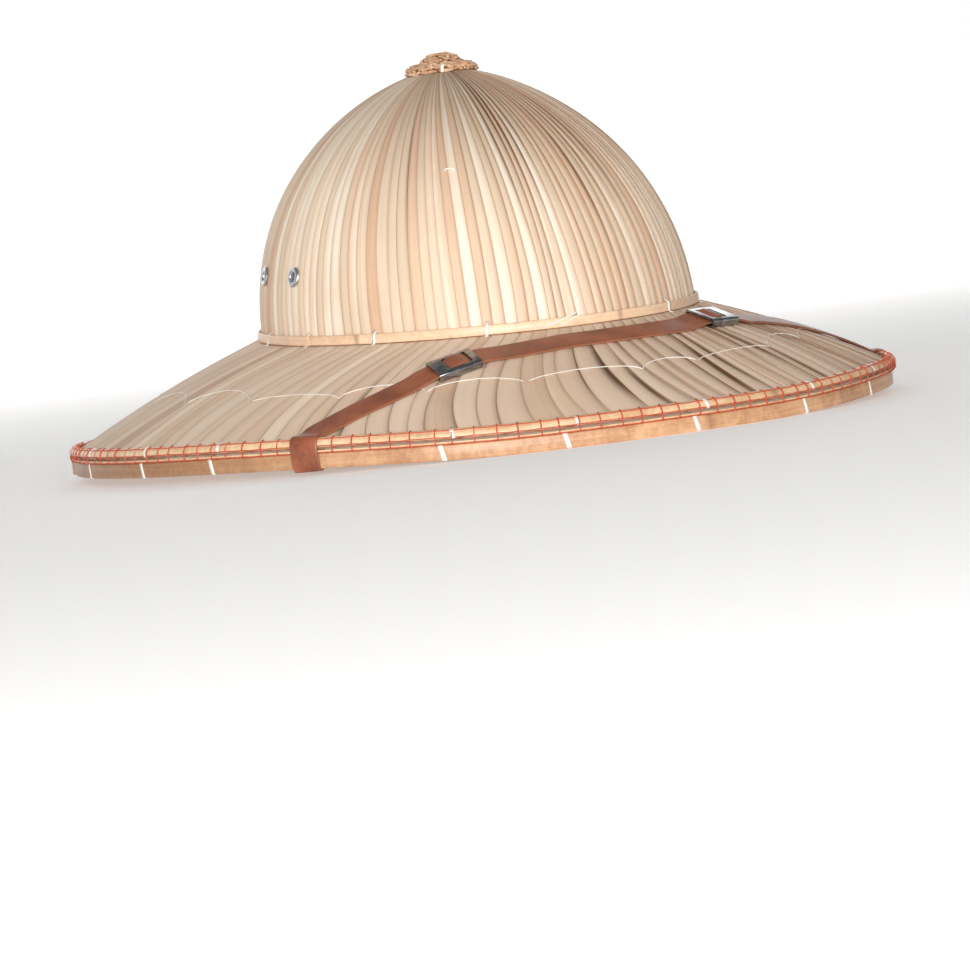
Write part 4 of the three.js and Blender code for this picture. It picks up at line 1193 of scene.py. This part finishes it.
STRAP_DROPS = {"leaves": UNDER_LEAVES, "ring": UNDER_LEAVES + RING_HEIGHT + GAP}
STRAP_STATIONS = 700
# The width's waver as a share of it, and how many waves it has
STRAP_WAVER, STRAP_WAVES = 0.012, 60
# The strap's section: across as a share of its width, rise of its thickness, and how raw the leather is
STRAP_SECTION = [
    (-0.5, 0.18, 1), (-0.485, 0.03, 0.6), (-0.44, 0, 0), (-0.2, 0, 0),
    (0.2, 0, 0), (0.44, 0, 0), (0.485, 0.03, 0.6), (0.5, 0.18, 1),
    (0.5, 0.82, 1), (0.485, 0.96, 0.35), (0.44, 1.0, 0), (0.2, 1.03, 0),
    (-0.2, 1.03, 0), (-0.44, 1.0, 0), (-0.485, 0.96, 0.35), (-0.5, 0.82, 1),
]


def strap_rim_wrap():
    flange = CANE_OVERHANG + GAP
    cane_inside = CANE_OVERHANG - UPPER_CANE_WIDTH
    cane_top = upper_cane_up(cane_inside + 0.3 * UPPER_CANE_WIDTH, 1) + GAP
    hoop_inside = -HOOP_THICKNESS - 2 * GAP
    return [(cane_inside - 2 * STRAP_BEND, upper_cane_up(cane_inside, 0.5) + GAP), (cane_inside, cane_top),
            (CANE_OVERHANG - 0.5 * UPPER_CANE_WIDTH, cane_top),
            (CANE_OVERHANG - 0.1 * UPPER_CANE_WIDTH, cane_top - STRAP_BEND),
            (flange, upper_cane_up(CANE_OVERHANG, 0.5)), (flange, LOWER_CANE_BOTTOM),
            (GAP + STRAP_BEND / 2, HOOP_HEIGHT / 2), (GAP, 0), (GAP - STRAP_BEND, -2 * GAP),
            (-HOOP_THICKNESS / 2, -2 * GAP), (hoop_inside + STRAP_BEND, -2 * GAP), (hoop_inside, 0),
            (hoop_inside, HOOP_HEIGHT / 2), (hoop_inside, HOOP_HEIGHT - STRAP_BEND),
            (hoop_inside - STRAP_BEND, HOOP_HEIGHT + STRAP_BEND),
            (hoop_inside - 3 * STRAP_BEND, HOOP_HEIGHT + 2 * STRAP_BEND)]


def strap_end_stations(degrees):
    angle = math.radians(degrees)
    outward = unit(rim_point(angle, 1, 0) - rim_point(angle, 0, 0))
    up = np.array([0, 0, 1.0])
    wrap = np.array(strap_rim_wrap())
    stations = []
    for i, (out, rise) in enumerate(wrap):
        along, climb = wrap[min(i + 1, len(wrap) - 1)] - wrap[max(i - 1, 0)]
        stations.append((rim_point(angle, out, rise), unit(-climb * outward + along * up)))
    for reach, under in STRAP_UNDER_BRIM:
        stations.append((brim_point(angle, reach, STRAP_DROPS[under]), -brim_normal(angle, reach)))
    low = -GAP - BRIM_WALL
    inward = foot_inward(angle)
    stations.append((crown_point(angle, 0.0, -STRAP_BEND, low - 2 * GAP), -up))
    stations.append((crown_point(angle, 0.0, -CROWN_WALL - GAP, low - GAP), unit(inward - up)))
    stations += [(foot_point(angle, h, 2 * GAP), inward) for h in (0, RIVET_HEIGHT, STRAP_END_HEIGHT)]
    return stations


def strap_top_stations():
    stations = []
    for i, (degrees, reach, carried) in enumerate(STRAP_OVER_BRIM):
        after = STRAP_OVER_BRIM[min(i + 1, len(STRAP_OVER_BRIM) - 1)]
        steps = 1 if carried == after[2] == "slider" else 3
        for k in range(steps if after is not STRAP_OVER_BRIM[i] else 1):
            t = k / steps
            angle = math.radians(degrees + (after[0] - degrees) * t)
            share = reach + (after[1] - reach) * t
            lift = STRAP_LIFTS[carried] + (STRAP_LIFTS[after[2]] - STRAP_LIFTS[carried]) * t
            up = brim_normal(angle, share)
            stations.append((brim_point(angle, share) + up * lift, up))
    return stations


def smoothed(values, passes):
    """Evens out a run of rows, keeping its ends."""
    values = values.copy()
    for _ in range(passes):
        values[1:-1] = 0.5 * values[1:-1] + 0.25 * (values[:-2] + values[2:])
    return values


def strap_piece():
    right = strap_end_stations(STRAP_OVER_BRIM[0][0])[::-1]
    left = strap_end_stations(STRAP_OVER_BRIM[-1][0])
    stations = right + strap_top_stations() + left
    place = np.array([p for p, _ in stations])
    away = np.array([n for _, n in stations])
    length = running_length(place)
    fine = np.linspace(0, length[-1], STRAP_STATIONS)
    place = np.stack([np.interp(fine, length, place[:, k]) for k in range(3)], -1)
    away = unit(smoothed(np.stack([np.interp(fine, length, away[:, k]) for k in range(3)], -1), 6))
    place = smoothed(place, 5)
    side = unit(np.cross(np.gradient(place, axis=0), away))
    width = STRAP_WIDTH * (1 + STRAP_WAVER * smooth_noise(STRAP_STATIONS, STRAP_WAVES))
    points = np.stack([place + side * (across * width)[:, None] + away * (rise * STRAP_THICKNESS)
                       for across, rise, _ in STRAP_SECTION], 1)
    edge = np.tile([raw for _, _, raw in STRAP_SECTION], STRAP_STATIONS)
    faces = bar_faces(STRAP_STATIONS, len(STRAP_SECTION))
    return finish_piece(build_mesh("strap", points.reshape(-1, 3), faces, {"edge": edge}),
                        "leather_strap", LEATHER)


def slider_frame(index):
    """The middle of a slide and its directions: along the strap, across it and up."""
    rows = [row for row in STRAP_OVER_BRIM if row[2] == "slider"][2 * index:2 * index + 2]
    ends = []
    for degrees, reach, _ in rows:
        up = brim_normal(math.radians(degrees), reach)
        ends.append((brim_point(math.radians(degrees), reach) + up * STRAP_LIFTS["slider"], up))
    along = unit(ends[1][0] - ends[0][0])
    up = ends[0][1] + ends[1][1]
    up = unit(up - (up @ along) * along)
    middle = (ends[0][0] + ends[1][0]) / 2 + up * STRAP_THICKNESS / 2
    return middle, np.stack([along, np.cross(up, along), up])


# The window in a slide's top, where the doubled strap shows: its ends, from the middle, and its margin
WINDOW_START, WINDOW_END, WINDOW_MARGIN = -3.8, 6.6, 1.7
SLIDE_HALF_WIDTH, SLIDE_HALF_HEIGHT = STRAP_WIDTH / 2 + SLIDER_PLAY, STRAP_THICKNESS / 2 + SLIDER_PLAY
SLIDE_BEND, SLIDE_EDGE = 0.45, 0.12
# The doubled strap's play in the window and its rise over the bar
LAYER_PLAY, LAYER_RISE = 0.35, 1.75


def slider_window(index):
    """The block that opens a slide's top, its plain end being the one nearer the rim."""
    middle, basis = slider_frame(index)
    side = -1 if index else 1
    block = bmesh.new()
    bmesh.ops.create_cube(block, size=1.0)
    size = (WINDOW_END - WINDOW_START, 2 * (SLIDE_HALF_WIDTH - WINDOW_MARGIN), 2 * SLIDER_WALL)
    centre = (side * (WINDOW_START + WINDOW_END) / 2, 0, SLIDE_HALF_HEIGHT + 0.5 * SLIDER_WALL)
    for vert in block.verts:
        local = np.array(vert.co) * size + centre
        vert.co = Vector(local @ basis + middle) * MM
    bmesh.ops.recalc_face_normals(block, faces=block.faces)
    return block


def doubled_strap_piece(name, index):
    """The strap's second layer, which rises through a slide's window over its bar."""
    middle, basis = slider_frame(index)
    side = -1 if index else 1
    steps = 14
    half = SLIDE_HALF_WIDTH - WINDOW_MARGIN - LAYER_PLAY
    floor = STRAP_THICKNESS / 2 + 0.08
    points = []
    for k in range(steps + 1):
        t = k / steps
        x = side * (WINDOW_START + 0.3 + (WINDOW_END - WINDOW_START - 0.6) * t)
        top = floor + 0.15 + LAYER_RISE * math.sin(math.pi * t) ** 0.55
        low = max(floor, top - STRAP_THICKNESS)
        points += [(x, y * half, z) for y, z in (
            (-1, low), (-1, top - 0.2), (-0.94, top - 0.03), (-0.8, top), (0, top + 0.06), (0.8, top),
            (0.94, top - 0.03), (1, top - 0.2), (1, low))]
    edge = [1, 1, 0.5, 0, 0, 0, 0.5, 1, 1]
    mesh = build_mesh(name, np.array(points) @ basis + middle, bar_faces(steps + 1, len(edge)),
                      {"edge": np.tile(edge, steps + 1)})
    return finish_piece(mesh, name, LEATHER)


def slider_piece(name, index):
    """A bent sheet slide: a flat sleeve round the strap, open on top."""
    middle, basis = slider_frame(index)
    half = SLIDER_LENGTH / 2
    stations = [(-half, SLIDE_EDGE), (SLIDE_EDGE - half, 0), (half - SLIDE_EDGE, 0), (half, SLIDE_EDGE)]
    rows = []
    # The outside and then the inside, back the other way; the sheet's ends are a little rounded
    for grow, flare, way in ((SLIDER_WALL, -0.06, 1), (0, 0.04, -1)):
        radius = SLIDE_BEND + grow * 0.6
        w, h = SLIDE_HALF_WIDTH + grow - radius, SLIDE_HALF_HEIGHT + grow - radius
        section = [(cx + radius * math.cos(math.radians(start + k * 30)),
                    cy + radius * math.sin(math.radians(start + k * 30)))
                   for cx, cy, start in ((w, h, 0), (-w, h, 90), (-w, -h, 180), (w, -h, 270))
                   for k in range(4)]
        rows += [[(x, y * (1 + flare * inset), z * (1 + flare * inset)) for y, z in section]
                 for x, inset in stations[::way]]
    mesh = build_mesh(name, np.array(rows).reshape(-1, 3) @ basis + middle,
                      grid_faces(len(rows), len(section), True, True))
    return cut_away(finish_piece(mesh, name + "_sleeve", METAL, crease=50), slider_window(index))


# The pieces, and the parts of model.glb that they stand for, which are hidden

def add(piece, slot, *nodes):
    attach(piece, "root")
    if nodes:
        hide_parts(*nodes)


add(crown_piece(), "crown_leaf", "crown")
add(brim_piece(), "brim_leaf", "brim")
add(rim_hoop_piece(), "bamboo", "rim_hoop")
add(lower_cane_piece(), "split_cane", "lower_edge_cane")
add(upper_cane_piece(), "split_cane", "upper_edge_cane")
add(crown_band_piece(), "split_cane", "crown_band")
add(brim_ring_piece(), "split_cane", "brim_ring")
for piece in (*stitch_pieces(), *hoop_tie_pieces(), cane_tie_piece(), band_tie_piece(), crown_knot_piece(),
              *loose_tail_pieces(), brim_thread_piece()):
    add(piece, "split_cane")
button_bed, button_weave, button_ties = button_pieces()
add(button_bed, "straw", "button_boss")
add(button_weave, "straw", "button_ring")
add(button_ties, "straw")
for eyelet_name, eyelet_angle in EYELETS:
    add(eyelet_piece(eyelet_name, eyelet_angle), "nickel", eyelet_name)
add(strap_piece(), "brown_leather", "chin_strap")
add(slider_piece("strap_slider_right", 0), "nickel", "strap_slider_right")
add(slider_piece("strap_slider_left", 1), "nickel", "strap_slider_left")
add(doubled_strap_piece("doubled_strap_right", 0), "brown_leather")
add(doubled_strap_piece("doubled_strap_left", 1), "brown_leather")
add(rivet_piece("strap_rivet_right", STRAP_OVER_BRIM[0][0]), "nickel", "strap_rivet_right")
add(rivet_piece("strap_rivet_left", STRAP_OVER_BRIM[-1][0]), "nickel", "strap_rivet_left")


# Studio: a pale floor that sweeps up behind, and soft light from the front left

def add_stage():
    width, front, back, height, bend = 9.0, -4.0, 3.5, 4.0, 1.2
    path = [(front, 0.0)]
    path += [(back + bend * math.sin(a), bend - bend * math.cos(a)) for a in np.linspace(0, math.pi / 2, 16)]
    path.append((back + bend, height))
    points = [(x, y, z) for y, z in path for x in (-width / 2, width / 2)]
    faces = [[2 * i, 2 * i + 1, 2 * i + 3, 2 * i + 2] for i in range(len(path) - 1)]
    mesh = bpy.data.meshes.new("studio_sweep")
    mesh.from_pydata(points, [], faces)
    for face in mesh.polygons:
        face.use_smooth = True
    paper = Finish("studio_paper", Roughness=0.9, Base_Color=srgb(247, 246, 245), Specular_IOR_Level=0.1,
                   Emission_Color=(1, 1, 1, 1), Emission_Strength=0.3)
    mesh.materials.append(paper.material)
    linked("studio_sweep", mesh)


def add_light(name, place, aim, size, power, colour=(1, 1, 1)):
    light = bpy.data.lights.new(name, "AREA")
    light.shape = "RECTANGLE"
    light.size, light.size_y = size
    light.energy = power
    light.color = colour
    lamp = linked(name, light)
    lamp.location = place
    lamp.rotation_euler = (Vector(aim) - Vector(place)).to_track_quat("-Z", "Y").to_euler()


add_stage()
add_light("key", (-0.95, -2.1, 0.27), (0, 0, 0.08), (1.4, 0.42), 48, (1.0, 0.995, 0.985))
add_light("fill", (1.6, -1.6, 0.5), (0, 0, 0.08), (0.9, 0.9), 1.5, (1.0, 0.99, 0.98))
add_light("back", (0.9, 2.0, 0.9), (0, 0, 0.1), (1.2, 1.2), 6)
add_light("backdrop", (0, 2.6, 2.4), (0, 4.6, 0.5), (3.0, 0.8), 75)
bpy.context.scene.view_settings.view_transform = "Standard"
world = bpy.data.worlds.new("studio")
world.use_nodes = True
world.node_tree.nodes["Background"].inputs["Color"].default_value = (1.0, 0.995, 0.985, 1)
world.node_tree.nodes["Background"].inputs["Strength"].default_value = 0.2
bpy.context.scene.world = world
